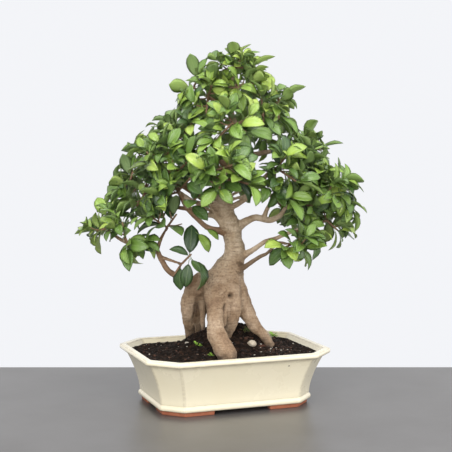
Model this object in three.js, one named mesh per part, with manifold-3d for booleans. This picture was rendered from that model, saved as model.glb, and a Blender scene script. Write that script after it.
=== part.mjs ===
// A banyan fig trained as a bonsai, standing in a glazed pot with cut corners.
// Millimetres, +Z up, with the pot's long side along X.
// The origin is on the ground, under the middle of the whole, crown and pot together.
import * as THREE from "three";
import { mergeVertices } from "three/addons/utils/BufferGeometryUtils.js";
import Module from "manifold-3d";

const wasm = await Module();
wasm.setup();

// The pot's middle, and the turn of the tree in it, in degrees about Z.
const POT_MIDDLE = [-1, -32];
const TREE_TURN = -20;

// Neighbours that touch stand this far apart.
const SEAT_GAP = 0.3;

// The pot is a rectangle with cut corners. OUTSET is how far a level stands out from the foot of the wall.
const BASE_HALF_LENGTH = 163;
const BASE_HALF_WIDTH = 115;
const BASE_CORNER_CUT = 38;
const CUT_GROWTH = 0.35;
const CORNER_SOFTNESS = 4;
const POT_HEIGHT = 117;
const FOOT_HEIGHT = 9;
const FOOT_WIDTH = 17;
const FOOT_INSET = 3;
const FOOT_SUNK = 3;
const FRONT_GAP_HALF = 59;
const SIDE_GAP_HALF = 29;
const BEAD_TOP = 20;
const BEAD_OUT = 2;
const WALL_FOOT = 24;
const WALL_LEVELS = [36, 50, 64, 78, 92];
const INNER_TOP = 104;
const LIP_UNDERSIDE = 106;
const FLARE = 27;
const FLARE_POWER = 1.55;
const LIP_OUT = 37;
const LIP_EDGE = 2;
const LIP_WIDTH = 14;
const WALL_THICKNESS = 9;
const FLOOR_TOP = 19;
const FLOOR_BEVEL = 6;
const DRAIN_RADIUS = 11;
const DRAIN_AT = 80;

// The soil lies in a low mound, and rises to a hill under the tree.
const SOIL_EDGE_HEIGHT = 107;
const MOUND_HEIGHT = 9;
const MOUND_MIDDLE = [3, 3];
const MOUND_HALF_SPAN = [176, 128];
const MOUND_FLAT_SHARE = 0.3;
const SOIL_RINGS = [0.84, 0.66, 0.46, 0.24];
const HILL_HEIGHT = 46;
const HILL_MIDDLE = [20, 30];
const HILL_HALF_SPAN = [146, 98];
const HILL_RINGS = [0.9, 0.98, 0.8, 0.6, 0.4, 0.2];
const HILL_SIDES = 16;

// One pale pebble lies half sunk in the soil.
const PEBBLE_AT = [48, -40, 125];
const PEBBLE_HALF_SIZE = [9.5, 8, 7];

// The tree's own frame has X across its broad side and Y away from its front.
// A limb is a list of [x, y, z, radius], chosen along its middle line.
const BOLE = [
  [12, 2, 186, 24], [8, 4, 212, 36], [0, 8, 240, 44], [9, 8, 271, 36], [19, 6, 298, 25], [23, 4, 317, 21.5],
  [20, 2, 340, 19.5], [16, 0, 365, 20], [5, -2, 392, 19], [-4, -4, 417, 18], [0, -2, 438, 16.5],
  [11, 2, 465, 14.5], [21, 6, 490, 12.5], [32, 10, 515, 11], [36, 13, 531, 10],
  [32, 15, 552, 9], [23, 16, 577, 8], [15, 19, 606, 7], [13, 21, 633, 6],
  [15, 23, 662, 5], [19, 26, 690, 4],
];
const ROOTS = {
  left: [
    [5, 8, 256, 30], [-22, 10, 250, 27], [-46, 8, 245, 26], [-64, 8, 229, 20.5], [-75, 8, 204, 15.5],
    [-76, 14, 182, 13.8], [-74, 28, 160, 12], [-73, 44, 138, 11.5], [-73, 56, 118, 9],
  ],
  inner: [
    [-38, 10, 236, 18], [-46, 10, 222, 15], [-46, 12, 208, 10.5], [-45, 14, 190, 6.8], [-45, 17, 168, 5.6],
    [-44, 20, 150, 5], [-44, 24, 128, 4.5],
  ],
  front: [
    [-14, 4, 272, 22], [-18, -8, 250, 26], [-20, -30, 226, 19.5], [-18, -50, 199, 17], [-18, -70, 173, 18],
    [-12, -87, 149, 19], [0, -98, 127, 21.5], [8, -101, 113, 20.5], [10, -103, 98, 12],
  ],
  web: [[-6, -20, 238, 18], [-3, -34, 212, 14], [-2, -40, 188, 9], [0, -42, 164, 5]],
  middle: [
    [6, -4, 262, 20], [10, -16, 238, 25], [17, -23, 212, 20], [18, -24, 192, 17.5], [16, -22, 176, 15.5],
    [13, -18, 158, 11.5], [9, -14, 140, 8], [6, -12, 118, 6],
  ],
  right: [
    [14, 6, 264, 20], [24, 4, 240, 22], [31, 3, 224, 20], [39, 1, 203, 17.5], [52, -1, 178, 15.5],
    [64, -2, 160, 13.5], [77, -3, 146, 11.8], [89, -3, 132, 10.5], [101, -3, 114, 8],
  ],
  back: [[2, 22, 236, 28], [6, 44, 204, 20], [6, 62, 172, 15], [0, 80, 144, 13], [-4, 92, 116, 9]],
  backLeft: [
    [-24, 18, 238, 24], [-44, 42, 208, 17], [-52, 62, 176, 14], [-54, 76, 146, 12], [-54, 84, 116, 9],
  ],
  backRight: [[24, 14, 232, 22], [46, 34, 200, 14], [62, 52, 166, 11], [72, 66, 138, 10], [78, 74, 114, 7]],
};
const BRANCHES = {
  lowLeft: [
    [-58, 5, 252, 9], [-91, -8, 263, 6.5], [-114, -22, 277, 6], [-130, -30, 303, 5.5], [-140, -32, 322, 5],
    [-169, -28, 328, 4.2], [-207, -20, 339, 3.6], [-239, -9, 359, 3],
  ],
  riser: [[-138, -32, 320, 4.5], [-130, -42, 344, 3.6], [-120, -51, 363, 2.8]],
  hanging: [[-130, -31, 307, 4], [-110, -50, 303, 3.2], [-93, -64, 299, 2.7]],
  leftMiddle: [
    [0, -2, 356, 8], [-33, -14, 367, 5.4], [-53, -23, 384, 5], [-76, -31, 409, 4.8], [-90, -40, 438, 4.4],
    [-106, -44, 471, 3.8], [-118, -44, 503, 3],
  ],
  leftFar: [
    [-74, -31, 407, 4.5], [-99, -17, 410, 4], [-125, 2, 423, 3.6], [-157, 24, 439, 3.2], [-190, 35, 455, 2.8],
  ],
  knot: [
    [2, -5, 368, 8], [-10, -17, 383, 6.2], [-22, -20, 392, 5.4], [-43, -22, 393, 4.6], [-68, -28, 400, 4.2],
  ],
  leftBack: [
    [-4, 6, 399, 8], [-40, 59, 420, 6], [-82, 96, 444, 5], [-127, 123, 469, 4], [-158, 135, 491, 3],
  ],
  leftUpper: [[17, 6, 481, 7], [-18, 0, 515, 5.4], [-56, 2, 544, 4.2], [-89, 14, 567, 3]],
  rightLow: [
    [36, 2, 303, 8], [67, -8, 324, 5.2], [85, -12, 337, 4.6], [108, -12, 344, 4.4], [140, -7, 357, 4],
    [176, 0, 369, 3.6], [208, 9, 377, 2.8],
  ],
  rightThin: [
    [32, -7, 276, 6], [71, -33, 306, 3.8], [87, -42, 315, 3.5], [96, -49, 324, 3.4], [109, -57, 339, 3.3],
    [130, -67, 338, 2.7],
  ],
  rightMiddle: [
    [20, 2, 362, 12], [53, 1, 382, 7.6], [67, 1, 387, 6.8], [83, 4, 383, 6.4], [99, 7, 381, 6],
    [118, 12, 390, 5.4], [139, 16, 416, 4.6], [172, 17, 435, 3.8], [210, 20, 445, 3],
  ],
  rightRiser: [[84, 3, 386, 5], [90, -7, 405, 4.4], [100, -21, 425, 3.8], [105, -34, 448, 2.8]],
  rightUpper: [
    [5, -2, 403, 7], [36, -21, 421, 5.4], [54, -30, 436, 5], [76, -38, 464, 4.6], [99, -37, 485, 4.2],
    [128, -32, 499, 3],
  ],
  rightBack: [[30, 12, 510, 7], [69, 62, 518, 5.6], [122, 103, 526, 4.4], [174, 131, 530, 3]],
  rightRear: [[20, 8, 484, 7], [62, 66, 462, 5.2], [112, 86, 420, 4.4], [150, 100, 398, 3]],
  backLow: [[0, 4, 433, 8], [-4, 77, 449, 6], [-17, 130, 462, 4.6], [-24, 169, 474, 3]],
  backHigh: [[34, 14, 527, 6.5], [47, 69, 546, 5], [59, 116, 561, 4], [71, 146, 570, 3]],
  frontLow: [[7, 0, 457, 8], [0, -42, 471, 5.6], [-5, -86, 482, 4.4], [-1, -119, 491, 3]],
  frontHigh: [[34, 12, 531, 6.5], [33, -21, 550, 5], [27, -55, 566, 4], [19, -82, 578, 3]],
  upperRight: [[23, 17, 575, 5.5], [55, 18, 596, 4.4], [84, 19, 612, 3.6], [105, 24, 623, 2.8]],
  upperLeft: [[15, 19, 606, 5], [-12, 20, 625, 4], [-37, 21, 640, 3.4], [-56, 22, 652, 2.8]],
  upperBack: [[13, 21, 631, 4.6], [24, 60, 647, 3.8], [35, 91, 659, 2.8]],
};

// A leafy spray grows at one point of a limb, and its twigs end at the tips.
const SPRAYS = [
  ["lowLeft", 7, [[-264, 2, 358], [-244, 24, 392]]],
  ["lowLeft", 6, [[-208, -42, 380], [-194, -54, 332]]],
  ["riser", 2, [[-146, -84, 394], [-96, -60, 398]]],
  ["hanging", 2, [[-66, -76, 318], [-104, -74, 272]]],
  ["leftMiddle", 3, [[-56, -100, 432]]],
  ["leftMiddle", 4, [[-126, -88, 434], [-66, -118, 474]]],
  ["leftMiddle", 5, [[-74, -102, 504]]],
  ["leftMiddle", 6, [[-148, -64, 500], [-114, -50, 532]]],
  ["leftFar", 3, [[-182, 0, 410], [-158, -32, 466]]],
  ["leftFar", 4, [[-214, 32, 446], [-194, 58, 484]]],
  ["leftBack", 2, [[-92, 150, 500]]],
  ["leftBack", 3, [[-126, 172, 440]]],
  ["leftBack", 4, [[-162, 124, 522], [-200, 116, 426]]],
  ["leftUpper", 2, [[-90, -38, 540], [-66, -26, 584]]],
  ["leftUpper", 3, [[-112, 28, 568], [-136, 66, 544]]],
  ["rightLow", 4, [[168, -56, 366]]],
  ["rightLow", 5, [[186, 56, 384]]],
  ["rightLow", 6, [[240, 12, 358], [222, 54, 392]]],
  ["rightThin", 5, [[156, -84, 330], [124, -90, 334]]],
  ["rightMiddle", 6, [[180, -52, 414]]],
  ["rightMiddle", 7, [[226, -40, 430], [202, -16, 474]]],
  ["rightMiddle", 8, [[244, 10, 464], [266, 8, 406]]],
  ["rightRiser", 3, [[126, -80, 436], [88, -76, 454]]],
  ["rightUpper", 4, [[144, -92, 466], [118, -80, 512]]],
  ["rightUpper", 5, [[158, -48, 498], [192, -2, 506]]],
  ["rightBack", 2, [[178, 160, 468], [232, 118, 452]]],
  ["rightBack", 3, [[212, 104, 526], [174, 130, 552]]],
  ["rightRear", 2, [[142, 142, 384]]],
  ["rightRear", 3, [[190, 130, 398], [172, 96, 430]]],
  ["backLow", 2, [[-20, 192, 406], [40, 178, 436]]],
  ["backLow", 3, [[-64, 190, 466], [4, 202, 490]]],
  ["backHigh", 2, [[112, 100, 592]]],
  ["backHigh", 3, [[36, 150, 568], [94, 150, 544]]],
  ["frontLow", 2, [[-10, -152, 454], [48, -134, 462]]],
  ["frontLow", 3, [[-34, -142, 486], [16, -156, 500]]],
  ["frontHigh", 2, [[6, -72, 604]]],
  ["frontHigh", 3, [[-16, -108, 548], [44, -104, 564]]],
  ["upperRight", 2, [[78, -2, 636], [80, -54, 578]]],
  ["upperRight", 3, [[118, 32, 632], [114, -2, 590]]],
  ["upperLeft", 2, [[-22, -12, 662], [-36, -46, 602]]],
  ["upperLeft", 3, [[-74, 22, 632], [-52, 24, 678]]],
  ["upperBack", 2, [[60, 104, 652], [-4, 104, 658]]],
  ["bole", 19, [[28, -36, 652], [68, 20, 666]]],
  ["bole", 20, [[22, 28, 712], [50, 22, 698], [-2, 10, 692]]],
];
const LIMB_STEP = 28;
const STUB_LENGTH = 10;
const STUB_RADIUS = 3;
const FORK_AT = 9;
const TWIG_RADII = [2.8, 2.5, 2.2, 1.9];

// A blade's rows, from the root of its stalk to its tip: the place along the blade and the half width,
// as shares of its length, and the depth of its midrib.
const LEAF_ROWS = [
  [-0.2, 0, 0],
  [0, 0.038, 2],
  [0.37, 0.27, 1.8],
  [0.71, 0.245, 1.6],
  [1, 0, 0],
];
const LEAF_LENGTH = 50;
const ROOT_SUNK = 1.2;
const LEAVES_ON_TWIG = 4;
const LEAF_STARTS_AT = 0.4;
const GOLDEN_ANGLE = 2.4;
const CLEAR_OF_OTHERS = 7.5;
const CLEAR_OF_OWN = 4.5;
const TRIES = 5;
const RETRY_TURN = 0.9;

const COLOURS = {
  glaze: 0xe9e3d2,
  soil: 0x2b211a,
  bark: 0xa48e72,
  leaf: 0x4f7f35,
  young: 0x86a83f,
  pebble: 0xcbb99c,
};

const vector = ([x, y, z]) => new THREE.Vector3(x, y, z);

// A closed surface as a solid that can be joined and cut.
function solidOf(geometry) {
  const bare = new THREE.BufferGeometry();
  bare.setAttribute("position", geometry.getAttribute("position"));
  bare.setIndex(geometry.index);
  const merged = mergeVertices(bare, 1e-4);
  const index = merged.index.array;
  const kept = [];
  for (let i = 0; i < index.length; i += 3) {
    const [a, b, c] = [index[i], index[i + 1], index[i + 2]];
    if (a !== b && b !== c && c !== a) kept.push(a, b, c);
  }
  const vertProperties = merged.attributes.position.array;
  return new wasm.Manifold(new wasm.Mesh({ numProp: 3, vertProperties, triVerts: new Uint32Array(kept) }));
}

function meshOf(name, solid, colour, roughness) {
  const { vertProperties, triVerts } = solid.getMesh();
  const geometry = new THREE.BufferGeometry();
  geometry.setAttribute("position", new THREE.BufferAttribute(vertProperties, 3));
  geometry.setIndex(new THREE.BufferAttribute(triVerts, 1));
  geometry.computeVertexNormals();
  const material = new THREE.MeshStandardMaterial({ color: colour, roughness, metalness: 0 });
  const mesh = new THREE.Mesh(geometry, material);
  mesh.name = name;
  return mesh;
}

// A cylinder whose rings of points are put where place(ring, corner) says. The caps' middles lie between.
function loft(sides, rings, place) {
  const geometry = new THREE.CylinderGeometry(1, 1, 1, sides, rings - 1);
  const position = geometry.getAttribute("position");
  for (let i = 0; i < position.count; i++) {
    const ring = Math.round((position.getY(i) + 0.5) * (rings - 1));
    const isMiddle = Math.hypot(position.getX(i), position.getZ(i)) < 0.5;
    const corner = Math.round((Math.atan2(position.getX(i), position.getZ(i)) / (2 * Math.PI)) * sides);
    const point = place(ring, isMiddle ? null : (corner + sides) % sides);
    position.setXYZ(i, point.x, point.y, point.z);
  }
  return geometry;
}

// The smooth curve through a limb's points.
function curveOf(limb) {
  return new THREE.CatmullRomCurve3(limb.map(vector), false, "catmullrom", 0.5);
}

function radiusAt(limb, t) {
  const place = t * (limb.length - 1);
  const i = Math.min(Math.floor(place), limb.length - 2);
  return limb[i][3] + (limb[i + 1][3] - limb[i][3]) * (place - i);
}

// The rings of a limb, each with its middle, its two cross directions and its radius.
function ringsOf(limb, steps) {
  const curve = curveOf(limb);
  const side = new THREE.Vector3(1, 0.2, 0.1);
  return Array.from({ length: steps + 1 }, (_, i) => {
    const t = i / steps;
    const along = curve.getTangent(t);
    side.addScaledVector(along, -side.dot(along)).normalize();
    const across = new THREE.Vector3().crossVectors(side, along);
    return { middle: curve.getPoint(t), side: side.clone(), across, radius: radiusAt(limb, t) };
  });
}

// A closed tube along a limb, made extra wide where a hole for it is wanted.
function limbSolid(limb, sides, steps, extra = 0) {
  const rings = ringsOf(limb, steps);
  const geometry = loft(sides, steps + 1, (ring, corner) => {
    const { middle, side, across, radius } = rings[ring];
    if (corner === null) return middle;
    const angle = (corner / sides) * 2 * Math.PI;
    return middle.clone()
      .addScaledVector(side, (radius + extra) * Math.sin(angle))
      .addScaledVector(across, (radius + extra) * Math.cos(angle));
  });
  return solidOf(geometry);
}

// The outline of the pot at one level: eight corners, each softened into two points.
function potOutline(outset, corner) {
  const x = BASE_HALF_LENGTH + outset;
  const y = BASE_HALF_WIDTH + outset;
  const cut = BASE_CORNER_CUT + CUT_GROWTH * outset;
  const corners = [
    [x, y - cut], [x - cut, y], [cut - x, y], [-x, y - cut],
    [-x, cut - y], [cut - x, -y], [x - cut, -y], [x, cut - y],
  ];
  const turn = Math.floor(corner / 2);
  const from = new THREE.Vector2(...corners[turn]);
  const to = new THREE.Vector2(...corners[(turn + (corner % 2 ? 1 : 7)) % 8]);
  return from.add(to.sub(from).setLength(CORNER_SOFTNESS));
}

const wallOutset = (z) => FLARE * Math.max(0, (z - WALL_FOOT) / (LIP_UNDERSIDE - WALL_FOOT)) ** FLARE_POWER;

// Levels [outset, z] up the outside, over the lip and down the inside to the floor.
function potLevels() {
  return [
    [BEAD_OUT - 1, FOOT_HEIGHT],
    [BEAD_OUT, (FOOT_HEIGHT + BEAD_TOP) / 2],
    [BEAD_OUT - 1, BEAD_TOP],
    [0, WALL_FOOT],
    ...WALL_LEVELS.map((z) => [wallOutset(z), z]),
    [FLARE, LIP_UNDERSIDE],
    [LIP_OUT - LIP_EDGE, LIP_UNDERSIDE],
    [LIP_OUT, LIP_UNDERSIDE + LIP_EDGE],
    [LIP_OUT, POT_HEIGHT - LIP_EDGE],
    [LIP_OUT - LIP_EDGE, POT_HEIGHT],
    [LIP_OUT - LIP_WIDTH + LIP_EDGE, POT_HEIGHT],
    [LIP_OUT - LIP_WIDTH, POT_HEIGHT - LIP_EDGE],
    ...[WALL_FOOT, ...WALL_LEVELS, INNER_TOP].reverse().map((z) => [wallOutset(z) - WALL_THICKNESS, z]),
    [-WALL_THICKNESS - FLOOR_BEVEL, FLOOR_TOP],
  ];
}

function levelsSolid(levels) {
  return solidOf(loft(16, levels.length, (ring, corner) => {
    const [outset, z] = levels[ring];
    if (corner === null) return new THREE.Vector3(0, 0, z);
    const { x, y } = potOutline(outset, corner);
    return new THREE.Vector3(x, y, z);
  }));
}

// One foot follows the pot's cut corner, and stops short of the gap in the middle of each side.
function footSolid(signX, signY) {
  const outer = [BASE_HALF_LENGTH - FOOT_INSET, BASE_HALF_WIDTH - FOOT_INSET];
  const inner = outer.map((half) => half - FOOT_WIDTH);
  const innerCut = BASE_CORNER_CUT - FOOT_WIDTH * (2 - Math.SQRT2);
  const shape = new THREE.Shape([
    [FRONT_GAP_HALF, outer[1]],
    [outer[0] - BASE_CORNER_CUT, outer[1]],
    [outer[0], outer[1] - BASE_CORNER_CUT],
    [outer[0], SIDE_GAP_HALF],
    [inner[0], SIDE_GAP_HALF],
    [inner[0], inner[1] - innerCut],
    [inner[0] - innerCut, inner[1]],
    [FRONT_GAP_HALF, inner[1]],
  ].map(([x, y]) => new THREE.Vector2(x * signX, y * signY)));
  return solidOf(new THREE.ExtrudeGeometry(shape, { depth: FOOT_HEIGHT + FOOT_SUNK, bevelEnabled: false }));
}

function drainSolid(sign) {
  const drain = new THREE.CylinderGeometry(DRAIN_RADIUS, DRAIN_RADIUS, 2 * FLOOR_TOP, 12);
  return solidOf(drain.rotateX(Math.PI / 2).translate(sign * DRAIN_AT, 0, FLOOR_TOP));
}

// The pot is fired in one piece with its feet, and has two drain holes.
function potSolid() {
  let pot = levelsSolid(potLevels());
  for (const signX of [1, -1]) {
    for (const signY of [1, -1]) pot = pot.add(footSolid(signX, signY));
    pot = pot.subtract(drainSolid(signX));
  }
  return pot;
}

// How much of a rise is left at a place: all of it up to a share of its span, and none past the span.
function riseLeft(x, y, middle, halfSpan, flatShare) {
  const reach = Math.hypot((x - middle[0]) / halfSpan[0], (y - middle[1]) / halfSpan[1]);
  return 1 - THREE.MathUtils.smoothstep(reach, flatShare, 1);
}

function soilHeight(x, y) {
  const mound = MOUND_HEIGHT * riseLeft(x, y, MOUND_MIDDLE, MOUND_HALF_SPAN, MOUND_FLAT_SHARE);
  return SOIL_EDGE_HEIGHT + mound + HILL_HEIGHT * riseLeft(x, y, HILL_MIDDLE, HILL_HALF_SPAN, 0);
}

// The hill under the tree has rings of its own, so that its slope is even.
function hillSolid() {
  return solidOf(loft(HILL_SIDES, HILL_RINGS.length, (ring, corner) => {
    const share = corner === null ? 0 : HILL_RINGS[ring];
    const angle = ((corner ?? 0) / HILL_SIDES) * 2 * Math.PI;
    const x = HILL_MIDDLE[0] + HILL_HALF_SPAN[0] * share * Math.cos(angle);
    const y = HILL_MIDDLE[1] + HILL_HALF_SPAN[1] * share * Math.sin(angle);
    return new THREE.Vector3(x, y, ring ? soilHeight(x, y) : INNER_TOP - WALL_THICKNESS);
  }));
}

function pebbleSolid(extra = 0) {
  const pebble = new THREE.SphereGeometry(1, 12, 8);
  return solidOf(pebble.scale(...PEBBLE_HALF_SIZE.map((half) => half + extra)).translate(...PEBBLE_AT));
}

// The soil fills the pot up to its mound, and the roots and the pebble stand in holes in it.
function soilSolid() {
  const inside = -WALL_THICKNESS - SEAT_GAP;
  const walls = [
    [inside - FLOOR_BEVEL, FLOOR_TOP + SEAT_GAP],
    ...[WALL_FOOT, ...WALL_LEVELS, INNER_TOP].map((z) => [wallOutset(z) + inside, z]),
    [wallOutset(INNER_TOP) + inside, SOIL_EDGE_HEIGHT],
  ];
  const edge = walls[walls.length - 1][0];
  const rings = walls.length + SOIL_RINGS.length;
  const slab = solidOf(loft(16, rings, (ring, corner) => {
    const onTop = ring >= walls.length - 1;
    const share = ring < walls.length ? 1 : SOIL_RINGS[ring - walls.length];
    const [outset, z] = onTop ? [edge, 0] : walls[ring];
    const { x, y } = corner === null ? new THREE.Vector2() : potOutline(outset, corner).multiplyScalar(share);
    return new THREE.Vector3(x, y, onTop ? soilHeight(x, y) : z);
  }));
  return slab.add(hillSolid()).subtract(rootHoles()).subtract(pebbleSolid(SEAT_GAP));
}

const LIMBS = { bole: BOLE, ...ROOTS, ...BRANCHES };

// A spray's seat on its limb: at the limb's end, or on a stub that leaves the limb toward the spray's tips.
function seatOf([name, index, tips]) {
  const limb = LIMBS[name];
  const from = vector(limb[index]);
  if (index === limb.length - 1) {
    return { at: from, aim: from.clone().sub(vector(limb[index - 1])).normalize(), stub: null };
  }
  const aim = new THREE.Vector3();
  for (const tip of tips) aim.add(vector(tip).sub(from).normalize());
  aim.normalize();
  const at = from.clone().addScaledVector(aim, limb[index][3] + STUB_LENGTH);
  return { at, aim, stub: [[...from, STUB_RADIUS + 0.6], [...at, STUB_RADIUS]] };
}

// A twig runs from the seat through the fork to its tip. Later twigs of a spray start inside the first.
function twigOf({ at, aim }, tip, isFirst) {
  const start = at.clone().addScaledVector(aim, isFirst ? SEAT_GAP : FORK_AT / 2);
  const fork = at.clone().addScaledVector(aim, FORK_AT);
  const end = vector(tip);
  const bend = fork.clone().lerp(end, 0.5);
  return [start, fork, bend, end].map((point, i) => [...point, isFirst || i ? TWIG_RADII[i] : TWIG_RADII[2]]);
}

// Draws in [0, 1) that come out the same each time.
function seeded(seed) {
  let state = seed;
  return () => {
    state = (state * 1664525 + 1013904223) % 4294967296;
    return state / 4294967296;
  };
}

// Where a blade sits: its foot, the way it points, the way its upper face looks, its length and curl.
function leafFrame(twig, t, turn, draws) {
  const curve = curveOf(twig);
  const axis = curve.getTangent(t);
  const side = new THREE.Vector3(0.3, 0.2, 1);
  side.addScaledVector(axis, -side.dot(axis)).normalize();
  const across = new THREE.Vector3().crossVectors(axis, side);
  const radial = side.multiplyScalar(Math.cos(turn)).addScaledVector(across, Math.sin(turn));
  const spread = 1.3 - 0.75 * t + 0.3 * (draws[0] - 0.5);
  const aim = axis.clone().multiplyScalar(Math.cos(spread)).addScaledVector(radial, Math.sin(spread));
  aim.z += 0.1;
  aim.normalize();
  const foot = curve.getPoint(t);
  const face = new THREE.Vector3(foot.x, foot.y, 0).normalize().multiplyScalar(0.55);
  face.addScaledVector(axis, 0.5);
  face.z += 0.75;
  face.addScaledVector(aim, -face.dot(aim)).normalize();
  face.applyAxisAngle(aim, 1.1 * (draws[1] - 0.5));
  return { foot, aim, face, length: LEAF_LENGTH * (0.86 + 0.26 * draws[2]), curl: 0.25 + 0.75 * draws[3] };
}

// A point of a blade at a share of its length, from edge (-1) over midrib (0) to edge (1), and so deep.
function leafPoint({ foot, aim, face, length, curl }, along, halfWidth, across, depth) {
  const past = Math.max(0, along);
  const bend = curl * past;
  const flank = new THREE.Vector3().crossVectors(aim, face);
  const up = face.clone().multiplyScalar(Math.cos(bend)).addScaledVector(aim, Math.sin(bend));
  return foot.clone()
    .addScaledVector(aim, length * (along - (bend * bend * past) / 6 - LEAF_ROWS[0][0]) - ROOT_SUNK)
    .addScaledVector(face, (-length * bend * past) / 2)
    .addScaledVector(flank, across * halfWidth * length)
    .addScaledVector(up, -depth);
}

// A blade is flat above and keeled along its midrib below.
function leafSolid(frame) {
  return solidOf(loft(3, LEAF_ROWS.length, (row, corner) => {
    const [along, halfWidth, depth] = LEAF_ROWS[row];
    const across = corner === null ? 0 : 1 - corner;
    return leafPoint(frame, along, halfWidth, across, across ? 0 : depth);
  }));
}

// Points spread over a blade, for keeping it clear of what belongs to other nodes.
function leafSamples(frame) {
  const samples = [leafPoint(frame, 1, 0, 0, 0)];
  for (const [along, halfWidth] of [[0.1, 0.1], [0.35, 0.235], [0.6, 0.23], [0.85, 0.12]]) {
    for (const across of [-1, 0, 1]) samples.push(leafPoint(frame, along, halfWidth, across, 0));
  }
  return samples;
}

function limbSamples(limb) {
  const curve = curveOf(limb);
  const count = Math.ceil(curve.getLength() / 6);
  return Array.from({ length: count + 1 }, (_, i) => [curve.getPoint(i / count), radiusAt(limb, i / count)]);
}

// A spray's blades may stand nearer to each other than to another spray, and nearer still to their own twigs.
function isClear(points, owner, taken) {
  return points.every((point) => taken.every(([other, at, radius]) => {
    if (other === owner) return radius > 0 || point.distanceTo(at) > CLEAR_OF_OWN;
    return point.distanceTo(at) > CLEAR_OF_OTHERS + radius;
  }));
}

// Blades climb each twig in a spiral. One that would cross another spray or limb is turned on, or left out.
function growLeaves(twigs, owner, taken) {
  const frames = [];
  twigs.forEach((twig, number) => {
    const draw = seeded(1 + owner * 7919 + number * 104729);
    for (let i = 0; i < LEAVES_ON_TWIG; i++) {
      const draws = [draw(), draw(), draw(), draw()];
      const t = LEAF_STARTS_AT + ((1 - LEAF_STARTS_AT) * i) / (LEAVES_ON_TWIG - 1);
      for (let attempt = 0; attempt < TRIES; attempt++) {
        const turn = owner + GOLDEN_ANGLE * i + attempt * RETRY_TURN;
        const frame = leafFrame(twig, t, turn, draws);
        const samples = leafSamples(frame);
        if (isClear(samples, owner, taken)) {
          frames.push(frame);
          for (const point of samples) taken.push([owner, point, 0]);
          break;
        }
      }
    }
  });
  return frames;
}

const sidesFor = (limb) => (limb[0][3] > 13 ? 8 : limb[0][3] > 6 ? 5 : 4);
const stepsFor = (limb) => Math.max(limb.length - 1, Math.round(curveOf(limb).getLength() / LIMB_STEP));

// Solids joined in one body. A hollow that the joining seals is filled.
function union(solids) {
  const shells = solids.reduce((joined, solid) => joined.add(solid)).decompose();
  return shells.reduce((largest, shell) => (shell.volume() > largest.volume() ? shell : largest));
}

const seats = SPRAYS.map(seatOf);
const twigsOf = SPRAYS.map(([, , tips], i) => tips.map((tip, k) => twigOf(seats[i], tip, k === 0)));
const stubs = seats.map(({ stub }) => stub).filter(Boolean);

function treeSolid() {
  const limbs = Object.values(LIMBS).map((limb) => limbSolid(limb, sidesFor(limb), stepsFor(limb)));
  return union([...limbs, ...stubs.map((stub) => limbSolid(stub, 4, 1))]);
}

function treeGroup() {
  const group = new THREE.Group();
  group.rotation.z = THREE.MathUtils.degToRad(TREE_TURN);
  group.add(meshOf("trunk", treeSolid(), COLOURS.bark, 0.85));
  const taken = [];
  const note = (owner, limb) => limbSamples(limb).forEach(([at, radius]) => taken.push([owner, at, radius]));
  for (const limb of [...Object.values(LIMBS), ...stubs]) note("trunk", limb);
  twigsOf.forEach((twigs, owner) => twigs.forEach((twig) => note(owner, twig)));
  twigsOf.forEach((twigs, owner) => {
    const frames = growLeaves(twigs, owner, taken);
    const solids = [...twigs.map((twig) => limbSolid(twig, 4, 3)), ...frames.map(leafSolid)];
    const name = `spray_${String(owner + 1).padStart(2, "0")}`;
    group.add(meshOf(name, union(solids), owner % 3 ? COLOURS.leaf : COLOURS.young, 0.45));
  });
  return group;
}

function rootHoles() {
  const turned = new THREE.Matrix4().makeRotationZ(THREE.MathUtils.degToRad(TREE_TURN));
  const holes = Object.values(ROOTS).map((limb) => {
    return limbSolid(limb, sidesFor(limb), stepsFor(limb), SEAT_GAP * 1.5);
  });
  return holes.reduce((joined, hole) => joined.add(hole)).transform(turned.elements);
}

const bonsai = new THREE.Group();
bonsai.position.set(...POT_MIDDLE, 0);
bonsai.add(meshOf("pot", potSolid(), COLOURS.glaze, 0.25));
bonsai.add(meshOf("soil", soilSolid(), COLOURS.soil, 0.95));
bonsai.add(meshOf("pebble", pebbleSolid(), COLOURS.pebble, 0.7));
bonsai.add(treeGroup());

export default bonsai;
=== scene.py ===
# A banyan fig grown as a bonsai, standing in its glazed pot.
# Shapes are worked out in millimetres about the pot's middle, and kept in metres.
import math
import random

import bmesh
import bpy
import numpy
from mathutils import Matrix, Vector, kdtree, noise
from mathutils.bvhtree import BVHTree


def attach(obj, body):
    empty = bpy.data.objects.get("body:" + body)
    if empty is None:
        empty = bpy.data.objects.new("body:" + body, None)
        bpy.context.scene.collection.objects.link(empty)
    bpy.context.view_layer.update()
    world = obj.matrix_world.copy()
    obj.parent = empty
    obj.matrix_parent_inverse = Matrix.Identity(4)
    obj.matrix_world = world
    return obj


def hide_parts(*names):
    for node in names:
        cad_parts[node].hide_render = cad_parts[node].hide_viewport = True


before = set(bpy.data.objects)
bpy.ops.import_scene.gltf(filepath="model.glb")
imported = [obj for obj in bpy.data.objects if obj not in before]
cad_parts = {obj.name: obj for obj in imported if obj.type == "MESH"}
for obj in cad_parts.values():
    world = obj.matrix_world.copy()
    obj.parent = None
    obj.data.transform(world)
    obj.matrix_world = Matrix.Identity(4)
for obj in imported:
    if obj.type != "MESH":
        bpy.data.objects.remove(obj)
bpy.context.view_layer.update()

# The camera stands in front of the pot, 20 degrees round to its left and a little above it.
# It sees the pot from the side, so both a long wall and a short wall show.
POT_PLACE = Matrix.Translation((-0.001, -0.032, 0)) @ Matrix.Scale(0.001, 4)
CAMERA_AT = Vector((-791.0, -2148.0, 550.4))
CAMERA_AIM = Vector((4.3, -1.6, 369.0))
PICTURE_SIDE = 452
FOCAL_LENGTH = 1100
SENSOR_WIDTH = 36


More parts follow.
